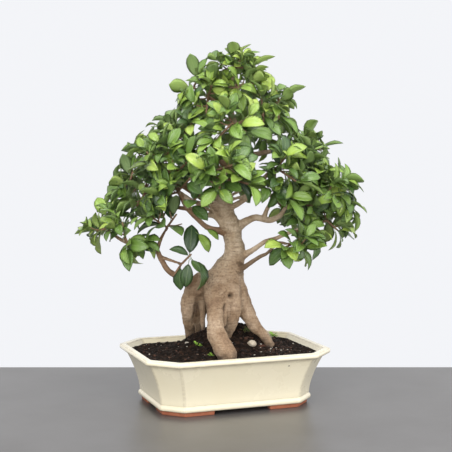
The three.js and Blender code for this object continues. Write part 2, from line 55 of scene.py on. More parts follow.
def put(name, data):
    """Data of any kind becomes an object in the scene."""
    made = bpy.data.objects.new(name, data)
    bpy.context.scene.collection.objects.link(made)
    return made


def look_from(thing, at, aim):
    """A camera or a lamp stands at one point and looks at another."""
    thing.location = POT_PLACE @ at
    thing.rotation_mode = "QUATERNION"
    thing.rotation_quaternion = (aim - at).to_track_quat("-Z", "Y")


camera = put("camera", bpy.data.cameras.new("camera"))
camera.data.sensor_width = SENSOR_WIDTH
camera.data.lens = SENSOR_WIDTH * FOCAL_LENGTH / PICTURE_SIDE
look_from(camera, CAMERA_AT, CAMERA_AIM)
bpy.context.scene.camera = camera


def look_through(x, y):
    """The way that the camera looks through one point of its picture."""
    look = Vector((x - PICTURE_SIDE / 2, PICTURE_SIDE / 2 - y, -FOCAL_LENGTH))
    look.rotate(camera.rotation_quaternion)
    return look.normalized()


# The pot is fired clay under a cream glaze: a rectangle with cut corners, a hollow-curved wall, a proud lip
# and a rounded bead at the base. It stands on four bare clay feet, and its floor has two drain holes.
# It is pressed in a mould, so its arrises are crisp, and the glaze runs thin and grey along them. The same
# brown is painted as shade in the line under the lip and in the groove above the bead.
HALF_LENGTH = 163
HALF_WIDTH = 115
CORNER_CUT = 38
CUT_GROWTH = 0.35
CORNER_SOFTNESS = 4.5
CORNER_STEPS = 4
FLARE = 27
FLARE_POWER = 1.55
FLARE_FROM = 24
FLARE_TO = 106
WALL_THICKNESS = 9
FLOOR_TOP = 19
FLOOR_INSET = 6
# Levels of the outline: how far it stands out, its height, and how thin the glaze is there. The same value
# paints shade in the line under the lip and in the groove above the bead.
BEAD = [
    (-2, 9, 0.7), (0.8, 9.3, 0.5), (2.3, 11, 0.1), (2.9, 14, 0), (2.4, 17, 0), (0.9, 19.4, 0.1),
    (-0.7, 21, 0.35),
]
# The darkest level, just under the lip's edge, is painted shade.
LIP = [
    (26.6, 104.5, 0.3), (28, 106, 0.6), (33.8, 106.6, 0.5), (36, 107.4, 0.9), (36.9, 109.3, 0.15),
    (37, 112, 0), (36.8, 114.2, 0.05), (35.6, 116.2, 0.75), (33.2, 117, 0.15), (27.5, 117, 0),
    (25, 116.8, 0.2), (23.5, 115.8, 0.8), (22.4, 113, 0.1),
]
WALL_HEIGHTS = [23, 28, 34, 41, 48, 56, 64, 72, 79, 86, 92, 98]
INNER_HEIGHTS = [104, 92, 78, 64, 50, 36, 24]
ARRIS_THINNESS = 0.32
SHARP_ANGLE = math.radians(50)
# Thin glaze and the painted shade lines are patchy. Their patches are counted along the pot's own box, which
# is given in metres.
PATCHES = 24
POT_CORNER = (-0.201, -0.184, 0)
POT_SPAN = (0.4, 0.304, 0.117)
# The glaze stops at this height, and below it the clay is bare.
CLAY_TOP = 9.05
FOOT_TOP = 12
FOOT_INSET = 3
FOOT_WIDTH = 17
FRONT_GAP_HALF = 59
SIDE_GAP_HALF = 29
FOOT_TAPER = 0.965
FOOT_ROUNDING = 0.9
# How much shorter a foot's inner cut is than its outer one, for each millimetre between them.
CUT_LOSS = 0.586
DRAIN_RADIUS = 11
DRAIN_AT = 80
PUNCH_LENGTH = 40
# A chip in the glaze: the point of the picture where it is seen, and its outer and inner radius in metres.
CHIP_SEEN_AT = (289, 366)
CHIP_RADII = (0.0022, 0.0008)


def pot_outline(outset):
    """The pot from above at one level, counter-clockwise, with each cut corner softened."""
    x = HALF_LENGTH + outset
    y = HALF_WIDTH + outset
    cut = CORNER_CUT + CUT_GROWTH * outset
    corners = [(x, y - cut), (x - cut, y), (cut - x, y), (-x, y - cut)]
    corners += [(-a, -b) for a, b in corners]
    corners = [Vector(corner) for corner in corners]
    outline = []
    for i, corner in enumerate(corners):
        before = corner + (corners[i - 1] - corner).normalized() * CORNER_SOFTNESS
        after = corner + (corners[(i + 1) % 8] - corner).normalized() * CORNER_SOFTNESS
        for step in range(CORNER_STEPS + 1):
            share = step / CORNER_STEPS
            outline.append(before.lerp(corner, share).lerp(corner.lerp(after, share), share))
    return outline


def wall_outset(height):
    return FLARE * max(0, (height - FLARE_FROM) / (FLARE_TO - FLARE_FROM)) ** FLARE_POWER


def raise_walls(levels):
    """A closed body: the outline drawn up through its levels."""
    mesh = bmesh.new()
    order = mesh.verts.layers.int.new("order")
    thin_and_shade = mesh.verts.layers.float.new("thin_glaze_and_shade")
    count = 8 * (CORNER_STEPS + 1)
    ring = bmesh.ops.create_circle(mesh, segments=count, radius=1, cap_ends=True)["verts"]
    for i, vert in enumerate(ring):
        vert[order] = i
    edges = mesh.edges[:]
    for level, (outset, height, thinness_and_shade) in enumerate(levels):
        if level:
            made = bmesh.ops.extrude_edge_only(mesh, edges=edges)["geom"]
            ring = [part for part in made if isinstance(part, bmesh.types.BMVert)]
            edges = [part for part in made if isinstance(part, bmesh.types.BMEdge) and part.is_boundary]
        outline = pot_outline(outset)
        for vert in ring:
            vert.co = (*outline[vert[order]], height)
            on_arris = abs(vert[order] % (CORNER_STEPS + 1) - CORNER_STEPS / 2) <= 1
            vert[thin_and_shade] = max(thinness_and_shade, ARRIS_THINNESS if on_arris else 0)
    bmesh.ops.contextual_create(mesh, geom=edges)
    bmesh.ops.recalc_face_normals(mesh, faces=mesh.faces)
    return mesh


def add_foot(mesh, sign_x, sign_y):
    """One low foot that follows a cut corner, drawn in a little toward the ground."""
    outer = (HALF_LENGTH - FOOT_INSET, HALF_WIDTH - FOOT_INSET)
    inner = (outer[0] - FOOT_WIDTH, outer[1] - FOOT_WIDTH)
    inner_cut = CORNER_CUT - FOOT_WIDTH * CUT_LOSS
    corners = [
        (FRONT_GAP_HALF, outer[1]), (outer[0] - CORNER_CUT, outer[1]), (outer[0], outer[1] - CORNER_CUT),
        (outer[0], SIDE_GAP_HALF), (inner[0], SIDE_GAP_HALF), (inner[0], inner[1] - inner_cut),
        (inner[0] - inner_cut, inner[1]), (FRONT_GAP_HALF, inner[1]),
    ]
    top = mesh.faces.new([mesh.verts.new((x * sign_x, y * sign_y, FOOT_TOP)) for x, y in corners])
    foot = bmesh.ops.extrude_face_region(mesh, geom=[top], use_keep_orig=True)["geom"]
    ground = [part for part in foot if isinstance(part, bmesh.types.BMVert)]
    middle = Vector(((outer[0] + FRONT_GAP_HALF) / 2 * sign_x, (outer[1] + SIDE_GAP_HALF) / 2 * sign_y, 0))
    for vert in ground:
        vert.co = middle + (Vector((vert.co.x, vert.co.y, 0)) - middle) * FOOT_TAPER
    sides = {face for vert in ground for face in vert.link_faces} | {top}
    bmesh.ops.recalc_face_normals(mesh, faces=list(sides))
    rims = list({edge for face in sides for edge in face.edges})
    bmesh.ops.bevel(
        mesh, geom=rims, offset=FOOT_ROUNDING, offset_type="OFFSET", affect="EDGES",
        segments=2, profile=0.5, material=-1,
    )


def data_from(name, mesh):
    """A bmesh is used up for mesh data."""
    data = bpy.data.meshes.new(name)
    mesh.to_mesh(data)
    mesh.free()
    return data


def piece_from(name, mesh, place, *finishes):
    """A bmesh in millimetres becomes a smooth piece that rides on the root body."""
    bmesh.ops.transform(mesh, matrix=place, verts=mesh.verts)
    data = data_from(name, mesh)
    for finish in finishes:
        data.materials.append(finish)
    data.shade_smooth()
    piece = put(name, data)
    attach(piece, "root")
    return piece


def node(finish, kind, inputs=None, **settings):
    """Adds a shader node. Each of its inputs is given a value or is fed by another node's output."""
    tree = getattr(finish, "node_tree", finish)
    made = tree.nodes.new(kind)
    for key, value in settings.items():
        setattr(made, key, value)
    for key, value in (inputs or {}).items():
        if isinstance(value, bpy.types.NodeSocket):
            tree.links.new(value, made.inputs[key])
        else:
            made.inputs[key].default_value = value
    return made


def ramp(finish, value, *stops):
    """A colour for each level of a value."""
    made = node(finish, "ShaderNodeValToRGB", {"Fac": value})
    elements = made.color_ramp.elements
    for i, (place, colour) in enumerate(stops):
        stop = elements[i] if i < 2 else elements.new(place)
        stop.position = place
        stop.color = (*colour, 1)
    return made.outputs["Color"]


def blend(finish, share, first, second, kind="MIX"):
    """A share of the second colour laid over the first."""
    made = node(finish, "ShaderNodeMix", data_type="RGBA", blend_type=kind)
    tree = getattr(finish, "node_tree", finish)
    for place, value in ((0, share), (6, first), (7, second)):
        if isinstance(value, bpy.types.NodeSocket):
            tree.links.new(value, made.inputs[place])
        else:
            made.inputs[place].default_value = value if place == 0 else (*value, 1)
    return made.outputs[2]


def new_finish(name, **constants):
    """A material with its shader, whose even values are set on the shader itself."""
    finish = bpy.data.materials.new(name)
    finish.use_nodes = True
    shader = finish.node_tree.nodes["Principled BSDF"]
    for key, value in constants.items():
        shader.inputs[key.replace("_", " ").title().replace("Ior", "IOR")].default_value = value
    return finish, shader


def feed(shader, socket, value):
    """A colour or a value that changes over the surface drives one of the shader's sockets."""
    shader.id_data.links.new(value, shader.inputs[socket])


def math_of(finish, operation, *values):
    return node(finish, "ShaderNodeMath", dict(enumerate(values)), operation=operation).outputs["Value"]


def level_of(finish, value, first, last, top=1.0):
    """How far a value has come from the first level to the last, as a share of the top."""
    given = {"Value": value, "From Min": first, "From Max": last, "To Max": top}
    return node(finish, "ShaderNodeMapRange", given).outputs["Result"]


def cloud(finish, place, scale, detail, roughness=0.5):
    """Soft noise that changes from place to place."""
    given = {"Vector": place, "Scale": scale, "Detail": detail, "Roughness": roughness}
    return node(finish, "ShaderNodeTexNoise", given).outputs["Fac"]


def painted(finish, name):
    """The value of that name that the mesh itself carries at each of its points."""
    return node(finish, "ShaderNodeAttribute", attribute_name=name).outputs["Fac"]


def place_on(finish):
    return node(finish, "ShaderNodeTexCoord").outputs["Object"]


def stretched(finish, scale, shift=(0, 0, 0)):
    """Places on the piece, stretched and then shifted."""
    given = {"Vector": place_on(finish), "Location": shift, "Scale": scale}
    return node(finish, "ShaderNodeMapping", given).outputs["Vector"]


def mottling_group():
    """Blotches, fine specks and a rough relief, as clay, glaze, soil, bark and stone all show them."""
    group = bpy.data.node_groups.new("mottling", "ShaderNodeTree")
    for name, value in (("Blotch Scale", 20.0), ("Speck Scale", 400.0), ("Speck Size", 0.1)):
        socket = group.interface.new_socket(name, in_out="INPUT", socket_type="NodeSocketFloat")
        socket.default_value = value
    for name in ("Blotches", "Specks", "Relief"):
        group.interface.new_socket(name, in_out="OUTPUT", socket_type="NodeSocketFloat")
    given = group.nodes.new("NodeGroupInput").outputs
    place = place_on(group)
    blotches = cloud(group, place, given["Blotch Scale"], 5.0, 0.6)
    cells = {"Vector": place, "Scale": given["Speck Scale"]}
    away = node(group, "ShaderNodeTexVoronoi", cells, feature="F1").outputs["Distance"]
    specks = level_of(group, away, given["Speck Size"], 0.0)
    relief = math_of(group, "ADD", blotches, cloud(group, place, given["Speck Scale"], 3.0))
    out = group.nodes.new("NodeGroupOutput")
    for name, value in (("Blotches", blotches), ("Specks", specks), ("Relief", relief)):
        group.links.new(value, out.inputs[name])
    return group


mottling = mottling_group()


def mottle(finish, blotch_scale, speck_scale, speck_size):
    """The mottling, placed in one material with its own values."""
    given = {"Blotch Scale": blotch_scale, "Speck Scale": speck_scale, "Speck Size": speck_size}
    made = node(finish, "ShaderNodeGroup", node_tree=mottling)
    for key, value in given.items():
        made.inputs[key].default_value = value
    return made.outputs


def bump(finish, shader, height, distance):
    relief = node(finish, "ShaderNodeBump", {"Height": height, "Distance": distance, "Strength": 1.0})
    feed(shader, "Normal", relief.outputs["Normal"])


def speckled_finish(name, scales, stops, speck, relief, **constants):
    """A mottled body with specks of one more colour and a fine relief."""
    finish, shader = new_finish(name, **constants)
    mottled = mottle(finish, *scales)
    body = ramp(finish, mottled["Blotches"], *stops)
    feed(shader, "Base Color", blend(finish, mottled["Specks"], body, speck))
    if relief:
        bump(finish, shader, mottled["Relief"], relief)
    return finish


def glaze_finish(chip_at):
    """Cream glaze with a few brown specks. It is worn thin on the arrises, has painted shade lines under the
    lip and above the bead, and is chipped in one place.
    """
    finish, shader = new_finish("cream_glaze", coat_weight=0.5, coat_roughness=0.08, ior=1.5)
    mottled = mottle(finish, 7, 900, 0.06)
    body = ramp(finish, mottled["Blotches"], (0.3, (0.92, 0.83, 0.60)), (0.7, (0.94, 0.86, 0.65)))
    scale = [PATCHES / side for side in POT_SPAN]
    shift = [-PATCHES * low / side for low, side in zip(POT_CORNER, POT_SPAN)]
    patchy = cloud(finish, stretched(finish, scale, shift), 1.0, 3.0)
    # Thin glaze on the arrises, and painted shade under the lip and above the bead.
    worn_and_shaded = math_of(finish, "MULTIPLY", painted(finish, "thin_glaze_and_shade"), level_of(finish, patchy, 0.2, 0.7))
    edged = blend(finish, worn_and_shaded, body, (0.36, 0.28, 0.19))
    specked = blend(finish, mottled["Specks"], edged, (0.25, 0.18, 0.10))
    place = place_on(finish)
    away = node(finish, "ShaderNodeVectorMath", {0: place, 1: chip_at}, operation="DISTANCE").outputs["Value"]
    chip = level_of(finish, away, *CHIP_RADII)
    feed(shader, "Base Color", blend(finish, chip, specked, (0.16, 0.11, 0.08)))
    rough = ramp(finish, mottled["Blotches"], (0.3, (0.2, 0.2, 0.2)), (0.8, (0.34, 0.34, 0.34)))
    feed(shader, "Roughness", rough)
    bump(finish, shader, math_of(finish, "SUBTRACT", cloud(finish, place, 22.0, 1.0), chip), 0.0006)
    return finish


def cut_drains(piece):
    """The drain holes are punched through the floor."""
    punch = bmesh.new()
    for sign in (1, -1):
        bmesh.ops.create_cone(
            punch, cap_ends=True, segments=32, radius1=DRAIN_RADIUS, radius2=DRAIN_RADIUS,
            depth=PUNCH_LENGTH, matrix=POT_PLACE @ Matrix.Translation((sign * DRAIN_AT, 0, FLOOR_TOP)),
        )
    tool = put("punch", data_from("punch", punch))
    cut = piece.modifiers.new("drains", "BOOLEAN")
    cut.object = tool
    cut.solver = "EXACT"
    cut_mesh = bpy.data.meshes.new_from_object(piece.evaluated_get(bpy.context.evaluated_depsgraph_get()))
    piece.modifiers.clear()
    piece.data = cut_mesh
    bpy.data.objects.remove(tool)


pot_mesh = raise_walls(
    BEAD
    + [(wall_outset(height), height, 0) for height in WALL_HEIGHTS]
    + LIP
    + [(wall_outset(height) - WALL_THICKNESS, height, 0) for height in INNER_HEIGHTS]
    + [(-WALL_THICKNESS - FLOOR_INSET, FLOOR_TOP, 0)]
)
for foot_x in (1, -1):
    for foot_y in (1, -1):
        add_foot(pot_mesh, foot_x, foot_y)
for face in pot_mesh.faces:
    face.material_index = 1 if face.calc_center_median().z < CLAY_TOP else 0
pot_surface = BVHTree.FromBMesh(pot_mesh)
chip_at = POT_PLACE @ pot_surface.ray_cast(CAMERA_AT, look_through(*CHIP_SEEN_AT))[0]
bare_clay = speckled_finish(
    "bare_clay", (60, 1200, 0.3), [(0.3, (0.34, 0.095, 0.045)), (0.7, (0.50, 0.17, 0.085))],
    (0.55, 0.32, 0.22), 0.0004, roughness=0.85,
)
pot = piece_from("pot_body", pot_mesh, POT_PLACE, glaze_finish(chip_at), bare_clay)
cut_drains(pot)
pot.data.set_sharp_from_angle(angle=SHARP_ANGLE)
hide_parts("pot")

# The soil is a dark mix of peat, bark crumbs and grit. It fills the pot and rises in a low mound round
# the roots. A crust of clods lies on top of it, with loose crumbs, bits of straw and flakes of bark.
SOIL_EDGE = 107
# Each rise has its height, its middle, its half span and the share of it that is flat.
MOUND = (9, (3, 3), (176, 128), 0.3)
HILL = (46, (20, 30), (146, 98), 0)
CLOD_HALF_SPAN = (181, 133)
CRUST_SUNK = 0.8
CRUST_CELL = 2.4
CRUST_FOOT = 96
CRUST_TAPER = (0.965, 0.95)
WALL_GAP = 0.3
CORE_HEIGHTS = [24, 36, 50, 64, 78, 92, 98]
CRUMB_COUNT = 1700
CRUMB_HALF_SPAN = (175, 130)
RUST_MIDDLE = (92, -38)
RUST_SPREAD = (28, 24)
FULL_TURN = 6.3
# Bits of straw and flakes of bark: the point of the picture where each is seen, and its turn on the soil.
STRAWS = [(163, 341, 0.4), (167, 339, -0.5), (171, 342, 0.1), (186, 343, 1.0)]
STRAW_SIZE = (11, 1.6, 1.0)
STRAW_KIND = 0.99
FLAKES = [(247, 338, 0.7), (262, 346, -0.4), (268, 338, 0.2), (259, 336, 1.2)]
FLAKE_SIZE = (13, 6, 3)
FLAKE_KIND = 0.82
GRIT_KIND = 1.0


def held(value, top=1):
    """The value, held between nought and the top."""
    return min(max(value, 0), top)


def rise_at(x, y, rise):
    height, middle, half_span, flat = rise
    reach = math.hypot((x - middle[0]) / half_span[0], (y - middle[1]) / half_span[1])
    share = held((reach - flat) / (1 - flat))
    return height * (1 - share * share * (3 - 2 * share))


def soil_height(x, y):
    """The mound and the hill under the tree, with their clods, which are low beside the wall."""
    place = Vector((x, y, 7))
    clods = 2.4 * noise.noise(place / 13) + 1.9 * noise.noise(place / 6) + 1.1 * noise.noise(place / 2.9)
    inward = min(1, (1 - max(abs(x) / CLOD_HALF_SPAN[0], abs(y) / CLOD_HALF_SPAN[1])) * 12)
    return SOIL_EDGE + rise_at(x, y, MOUND) + rise_at(x, y, HILL) + clods * max(inward, 0.2) - CRUST_SUNK


def soil_mesh():
    """The crust is a fine grid cut to the pot's inside. A plain body under it goes down to the floor."""
    edge = wall_outset(SOIL_EDGE) - WALL_THICKNESS - WALL_GAP
    outline = pot_outline(edge)
    half = (HALF_LENGTH + edge, HALF_WIDTH + edge)
    mesh = bmesh.new()
    cells = [round(2 * side / CRUST_CELL) for side in half]
    bmesh.ops.create_grid(mesh, x_segments=cells[0], y_segments=cells[1], size=1)
    bmesh.ops.scale(mesh, vec=(half[0], half[1], 1), verts=mesh.verts)
    for i, corner in enumerate(outline):
        along = corner - outline[i - 1]
        outward = Vector((along.y, -along.x, 0)).normalized()
        parts = mesh.verts[:] + mesh.edges[:] + mesh.faces[:]
        bmesh.ops.bisect_plane(mesh, geom=parts, plane_co=(*corner, 0), plane_no=outward, clear_outer=True)
    bmesh.ops.remove_doubles(mesh, verts=mesh.verts, dist=0.05)
    for vert in mesh.verts:
        vert.co.z = soil_height(vert.co.x, vert.co.y)
    rim = [edge for edge in mesh.edges if edge.is_boundary]
    skirt = bmesh.ops.extrude_edge_only(mesh, edges=rim)["geom"]
    for part in skirt:
        if isinstance(part, bmesh.types.BMVert):
            part.co = (part.co.x * CRUST_TAPER[0], part.co.y * CRUST_TAPER[1], CRUST_FOOT)
    bmesh.ops.contextual_create(mesh, geom=[part for part in skirt if isinstance(part, bmesh.types.BMEdge)])
    bmesh.ops.recalc_face_normals(mesh, faces=mesh.faces)
    inside = -WALL_THICKNESS - WALL_GAP
    levels = [(inside - FLOOR_INSET, FLOOR_TOP + WALL_GAP, 0)]
    levels += [(wall_outset(height) + inside, height, 0) for height in CORE_HEIGHTS]
    mesh.from_mesh(data_from("core", raise_walls(levels)))
    return mesh


def in_pot(x, y, margin):
    """Whether a place lies on the soil, so far inside the wall."""
    edge = wall_outset(SOIL_EDGE) - WALL_THICKNESS - margin
    return abs(x) < HALF_LENGTH + edge and abs(y) < HALF_WIDTH + edge and (
        abs(x) + abs(y) < HALF_LENGTH + HALF_WIDTH + 2 * edge - CORNER_CUT - CUT_GROWTH * edge
    )


def crumb_finish():
    """A crumb is coloured by its kind: dark peat, rusty bark, straw or pale grit."""
    finish, shader = new_finish("soil_crumbs", roughness=0.92)
    mottled = mottle(finish, 160, 900, 0.2)
    body = ramp(
        finish, painted(finish, "kind"),
        (0.0, (0.012, 0.008, 0.006)), (0.55, (0.035, 0.020, 0.014)), (0.86, (0.11, 0.045, 0.025)),
        (0.95, (0.26, 0.19, 0.13)), (1.0, (0.62, 0.56, 0.47)),
    )
    dulled = ramp(finish, mottled["Blotches"], (0.3, (0.35, 0.35, 0.35)), (0.7, (1, 1, 1)))
    feed(shader, "Base Color", blend(finish, 0.6, body, dulled, "MULTIPLY"))
    bump(finish, shader, mottled["Relief"], 0.0008)
    return finish


def crumb_mesh(draw):
    """Loose crumbs, grit and slivers of bark that lie on the crust. Rusty bark lies by the right root."""
    mesh = bmesh.new()
    kind = mesh.verts.layers.float.new("kind")
    for i in range(CRUMB_COUNT):
        by_root = i % 4 == 0
        if by_root:
            spot = [draw.gauss(middle, spread) for middle, spread in zip(RUST_MIDDLE, RUST_SPREAD)]
        else:
            spot = [draw.uniform(-half, half) for half in CRUMB_HALF_SPAN]
        if not in_pot(*spot, 4):
            continue
        size = 0.8 + 2.6 * draw.random() ** 2.5
        made = bmesh.ops.create_icosphere(mesh, subdivisions=1, radius=size)["verts"]
        shade = draw.uniform(0.3, 0.9) if by_root else draw.random() ** 1.7 * 0.92
        if i % 23 == 0:
            shade = GRIT_KIND
        stretch = (draw.uniform(0.7, 1.9), draw.uniform(0.6, 1.1), draw.uniform(0.4, 0.8))
        turn = Matrix.Rotation(draw.uniform(0, FULL_TURN), 4, "Z")
        tilt = Matrix.Rotation(draw.uniform(-0.5, 0.5), 4, "X")
        at = Matrix.Translation((*spot, soil_height(*spot) + size * 0.25))
        place = at @ turn @ tilt @ Matrix.Diagonal((*stretch, 1))
        for vert in made:
            vert.co = place @ (vert.co * draw.uniform(0.75, 1.15))
            vert[kind] = shade
    return mesh


def on_soil(x, y):
    """The point of the soil that is seen at one point of the picture, or at the nearest one below it."""
    while True:
        found = soil_surface.ray_cast(CAMERA_AT, look_through(x, y))[0]
        if found:
            return found
        y += 1


def add_sliver(mesh, at, size, turn, shade):
    """One longer flake that lies flat on the soil."""
    made = bmesh.ops.create_cube(mesh, size=1)["verts"]
    place = Matrix.Translation((at.x, at.y, at.z + size[2] * 0.3)) @ Matrix.Rotation(turn, 4, "Z")
    for vert in made:
        taper = 0.45 if vert.co.x > 0 else 1
        vert.co = place @ Vector((vert.co.x * size[0], vert.co.y * size[1] * taper, vert.co.z * size[2]))
        vert[mesh.verts.layers.float["kind"]] = shade


draw = random.Random(5)
crust = soil_mesh()
soil_surface = BVHTree.FromBMesh(crust)
dark_soil = speckled_finish(
    "dark_soil", (90, 700, 0.16),
    [(0.35, (0.004, 0.002, 0.001)), (0.52, (0.014, 0.008, 0.005)), (0.72, (0.050, 0.026, 0.016))],
    (0.16, 0.11, 0.075), 0.0016, roughness=0.95, specular_ior_level=0.15,
)
soil = piece_from("soil_crust", crust, POT_PLACE, dark_soil)
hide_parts("soil")
loose = crumb_mesh(draw)
for x, y, turn in STRAWS:
    add_sliver(loose, on_soil(x, y), STRAW_SIZE, turn, STRAW_KIND)
for x, y, turn in FLAKES:
    add_sliver(loose, on_soil(x, y), FLAKE_SIZE, turn, FLAKE_KIND)
crumbs = piece_from("soil_crumbs", loose, POT_PLACE, crumb_finish())
crumbs.data.shade_flat()

# The pebble is one pale stone, worn round and a little uneven.
# It lies half sunk in the soil, which holds it.
PEBBLE_AT = (48, -40, 125)
PEBBLE_HALF_SIZE = (9.5, 8, 7)

pebble_mesh = bmesh.new()
bmesh.ops.create_icosphere(pebble_mesh, subdivisions=4, radius=1)
for vert in pebble_mesh.verts:
    vert.co *= 1 + 0.22 * noise.noise(vert.co * 1.1) + 0.05 * noise.noise(vert.co * 3)
pebble_place = POT_PLACE @ Matrix.Translation(PEBBLE_AT) @ Matrix.Diagonal((*PEBBLE_HALF_SIZE, 1))
pale_stone = speckled_finish(
    "pale_stone", (120, 900, 0.25), [(0.3, (0.40, 0.32, 0.22)), (0.65, (0.66, 0.58, 0.46))],
    (0.22, 0.16, 0.11), 0.0005, roughness=0.75,
)
pebble = piece_from("pale_pebble", pebble_mesh, pebble_place, pale_stone)
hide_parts("pebble")

# The wood is one living body: stilt roots, a short bole and its branches, under a thin tan bark.
# Its limbs are drawn as tapering tubes, then melted together and worked over like clay.
# A limb is a list of [x, y, z, radius] in the tree's own frame, with X across its broad side.
TREE_TURN = Matrix.Rotation(math.radians(-20), 4, "Z")
TREE_PLACE = POT_PLACE @ TREE_TURN
INTO_TREE = TREE_TURN.inverted()
BOLE = [
    [12, 2, 186, 24], [8, 4, 212, 36], [0, 8, 240, 44], [9, 8, 271, 36], [19, 6, 298, 25],
    [23, 4, 317, 21.5], [20, 2, 340, 19.5], [16, 0, 365, 20], [5, -2, 392, 19], [-4, -4, 417, 18],
    [0, -2, 438, 16.5], [11, 2, 465, 14.5], [21, 6, 490, 12.5], [32, 10, 515, 11], [36, 13, 531, 10],
    [32, 15, 552, 9], [23, 16, 577, 8], [15, 19, 606, 7], [13, 21, 633, 6], [15, 23, 662, 5],
    [19, 26, 690, 4],
]
ROOTS = {
    "left": [
        [5, 8, 256, 30], [-22, 10, 250, 27], [-46, 8, 245, 26], [-64, 8, 229, 20.5],
        [-75, 8, 204, 15.5], [-76, 14, 182, 13.8], [-74, 28, 160, 12], [-73, 44, 138, 11.5],
        [-73, 56, 118, 9],
    ],
    "inner": [
        [-38, 10, 236, 18], [-46, 10, 222, 15], [-46, 12, 208, 10.5], [-45, 14, 190, 6.8],
        [-45, 17, 168, 5.6], [-44, 20, 150, 5], [-44, 24, 128, 4.5],
    ],
    "front": [
        [-14, 4, 272, 22], [-18, -8, 250, 26], [-20, -30, 226, 19.5], [-18, -50, 199, 17],
        [-18, -70, 173, 18], [-12, -87, 149, 19], [0, -98, 127, 21.5], [8, -101, 113, 20.5],
        [10, -103, 98, 12],
    ],
    "web": [[-6, -20, 238, 18], [-3, -34, 212, 14], [-2, -40, 188, 9], [0, -42, 164, 5]],
    "middle": [
        [6, -4, 262, 20], [10, -16, 238, 25], [17, -23, 212, 20], [18, -24, 192, 17.5],
        [16, -22, 176, 15.5], [13, -18, 158, 11.5], [9, -14, 140, 8], [6, -12, 118, 6],
    ],
    "right": [
        [14, 6, 264, 20], [24, 4, 240, 22], [31, 3, 224, 20], [39, 1, 203, 17.5], [52, -1, 178, 15.5],
        [64, -2, 160, 13.5], [77, -3, 146, 11.8], [89, -3, 132, 10.5], [101, -3, 114, 8],
    ],
    "back": [[2, 22, 236, 28], [6, 44, 204, 20], [6, 62, 172, 15], [0, 80, 144, 13], [-4, 92, 116, 9]],
    "backLeft": [
        [-24, 18, 238, 24], [-44, 42, 208, 17], [-52, 62, 176, 14], [-54, 76, 146, 12],
        [-54, 84, 116, 9],
    ],
    "backRight": [
        [24, 14, 232, 22], [46, 34, 200, 14], [62, 52, 166, 11], [72, 66, 138, 10], [78, 74, 114, 7],
    ],
}
BRANCHES = {
    "lowLeft": [
        [-58, 5, 252, 9], [-91, -8, 263, 6.5], [-114, -22, 277, 6], [-130, -30, 303, 5.5],
        [-140, -32, 322, 5], [-169, -28, 328, 4.2], [-207, -20, 339, 3.6], [-239, -9, 359, 3],
    ],
    "riser": [[-138, -32, 320, 4.5], [-130, -42, 344, 3.6], [-120, -51, 363, 2.8]],
    "hanging": [[-130, -31, 307, 4], [-110, -50, 303, 3.2], [-93, -64, 299, 2.7]],
    "leftMiddle": [
        [0, -2, 356, 8], [-33, -14, 367, 5.4], [-53, -23, 384, 5], [-76, -31, 409, 4.8],
        [-90, -40, 438, 4.4], [-106, -44, 471, 3.8], [-118, -44, 503, 3],
    ],
    "leftFar": [
        [-74, -31, 407, 4.5], [-99, -17, 410, 4], [-125, 2, 423, 3.6], [-157, 24, 439, 3.2],
        [-190, 35, 455, 2.8],
    ],
    "knot": [
        [2, -5, 368, 8], [-10, -17, 383, 6.2], [-22, -20, 392, 5.4], [-43, -22, 393, 4.6],
        [-68, -28, 400, 4.2],
    ],
    "leftBack": [
        [-4, 6, 399, 8], [-40, 59, 420, 6], [-82, 96, 444, 5], [-127, 123, 469, 4], [-158, 135, 491, 3],
    ],
    "leftUpper": [[17, 6, 481, 7], [-18, 0, 515, 5.4], [-56, 2, 544, 4.2], [-89, 14, 567, 3]],
    "rightLow": [
        [36, 2, 303, 8], [67, -8, 324, 5.2], [85, -12, 337, 4.6], [108, -12, 344, 4.4],
        [140, -7, 357, 4], [176, 0, 369, 3.6], [208, 9, 377, 2.8],
    ],
    "rightThin": [
        [32, -7, 276, 6], [71, -33, 306, 3.8], [87, -42, 315, 3.5], [96, -49, 324, 3.4],
        [109, -57, 339, 3.3], [130, -67, 338, 2.7],
    ],
    "rightMiddle": [
        [20, 2, 362, 12], [53, 1, 382, 7.6], [67, 1, 387, 6.8], [83, 4, 383, 6.4], [99, 7, 381, 6],
        [118, 12, 390, 5.4], [139, 16, 416, 4.6], [172, 17, 435, 3.8], [210, 20, 445, 3],
    ],
    "rightRiser": [[84, 3, 386, 5], [90, -7, 405, 4.4], [100, -21, 425, 3.8], [105, -34, 448, 2.8]],
    "rightUpper": [
        [5, -2, 403, 7], [36, -21, 421, 5.4], [54, -30, 436, 5], [76, -38, 464, 4.6],
        [99, -37, 485, 4.2], [128, -32, 499, 3],
    ],
    "rightBack": [[30, 12, 510, 7], [69, 62, 518, 5.6], [122, 103, 526, 4.4], [174, 131, 530, 3]],
    "rightRear": [[20, 8, 484, 7], [62, 66, 462, 5.2], [112, 86, 420, 4.4], [150, 100, 398, 3]],
    "backLow": [[0, 4, 433, 8], [-4, 77, 449, 6], [-17, 130, 462, 4.6], [-24, 169, 474, 3]],
    "backHigh": [[34, 14, 527, 6.5], [47, 69, 546, 5], [59, 116, 561, 4], [71, 146, 570, 3]],
    "frontLow": [[7, 0, 457, 8], [0, -42, 471, 5.6], [-5, -86, 482, 4.4], [-1, -119, 491, 3]],
    "frontHigh": [[34, 12, 531, 6.5], [33, -21, 550, 5], [27, -55, 566, 4], [19, -82, 578, 3]],
    "upperRight": [[23, 17, 575, 5.5], [55, 18, 596, 4.4], [84, 19, 612, 3.6], [105, 24, 623, 2.8]],
    "upperLeft": [[15, 19, 606, 5], [-12, 20, 625, 4], [-37, 21, 640, 3.4], [-56, 22, 652, 2.8]],
    "upperBack": [[13, 21, 631, 4.6], [24, 60, 647, 3.8], [35, 91, 659, 2.8]],
}
LIMBS = {"bole": BOLE, **ROOTS, **BRANCHES}
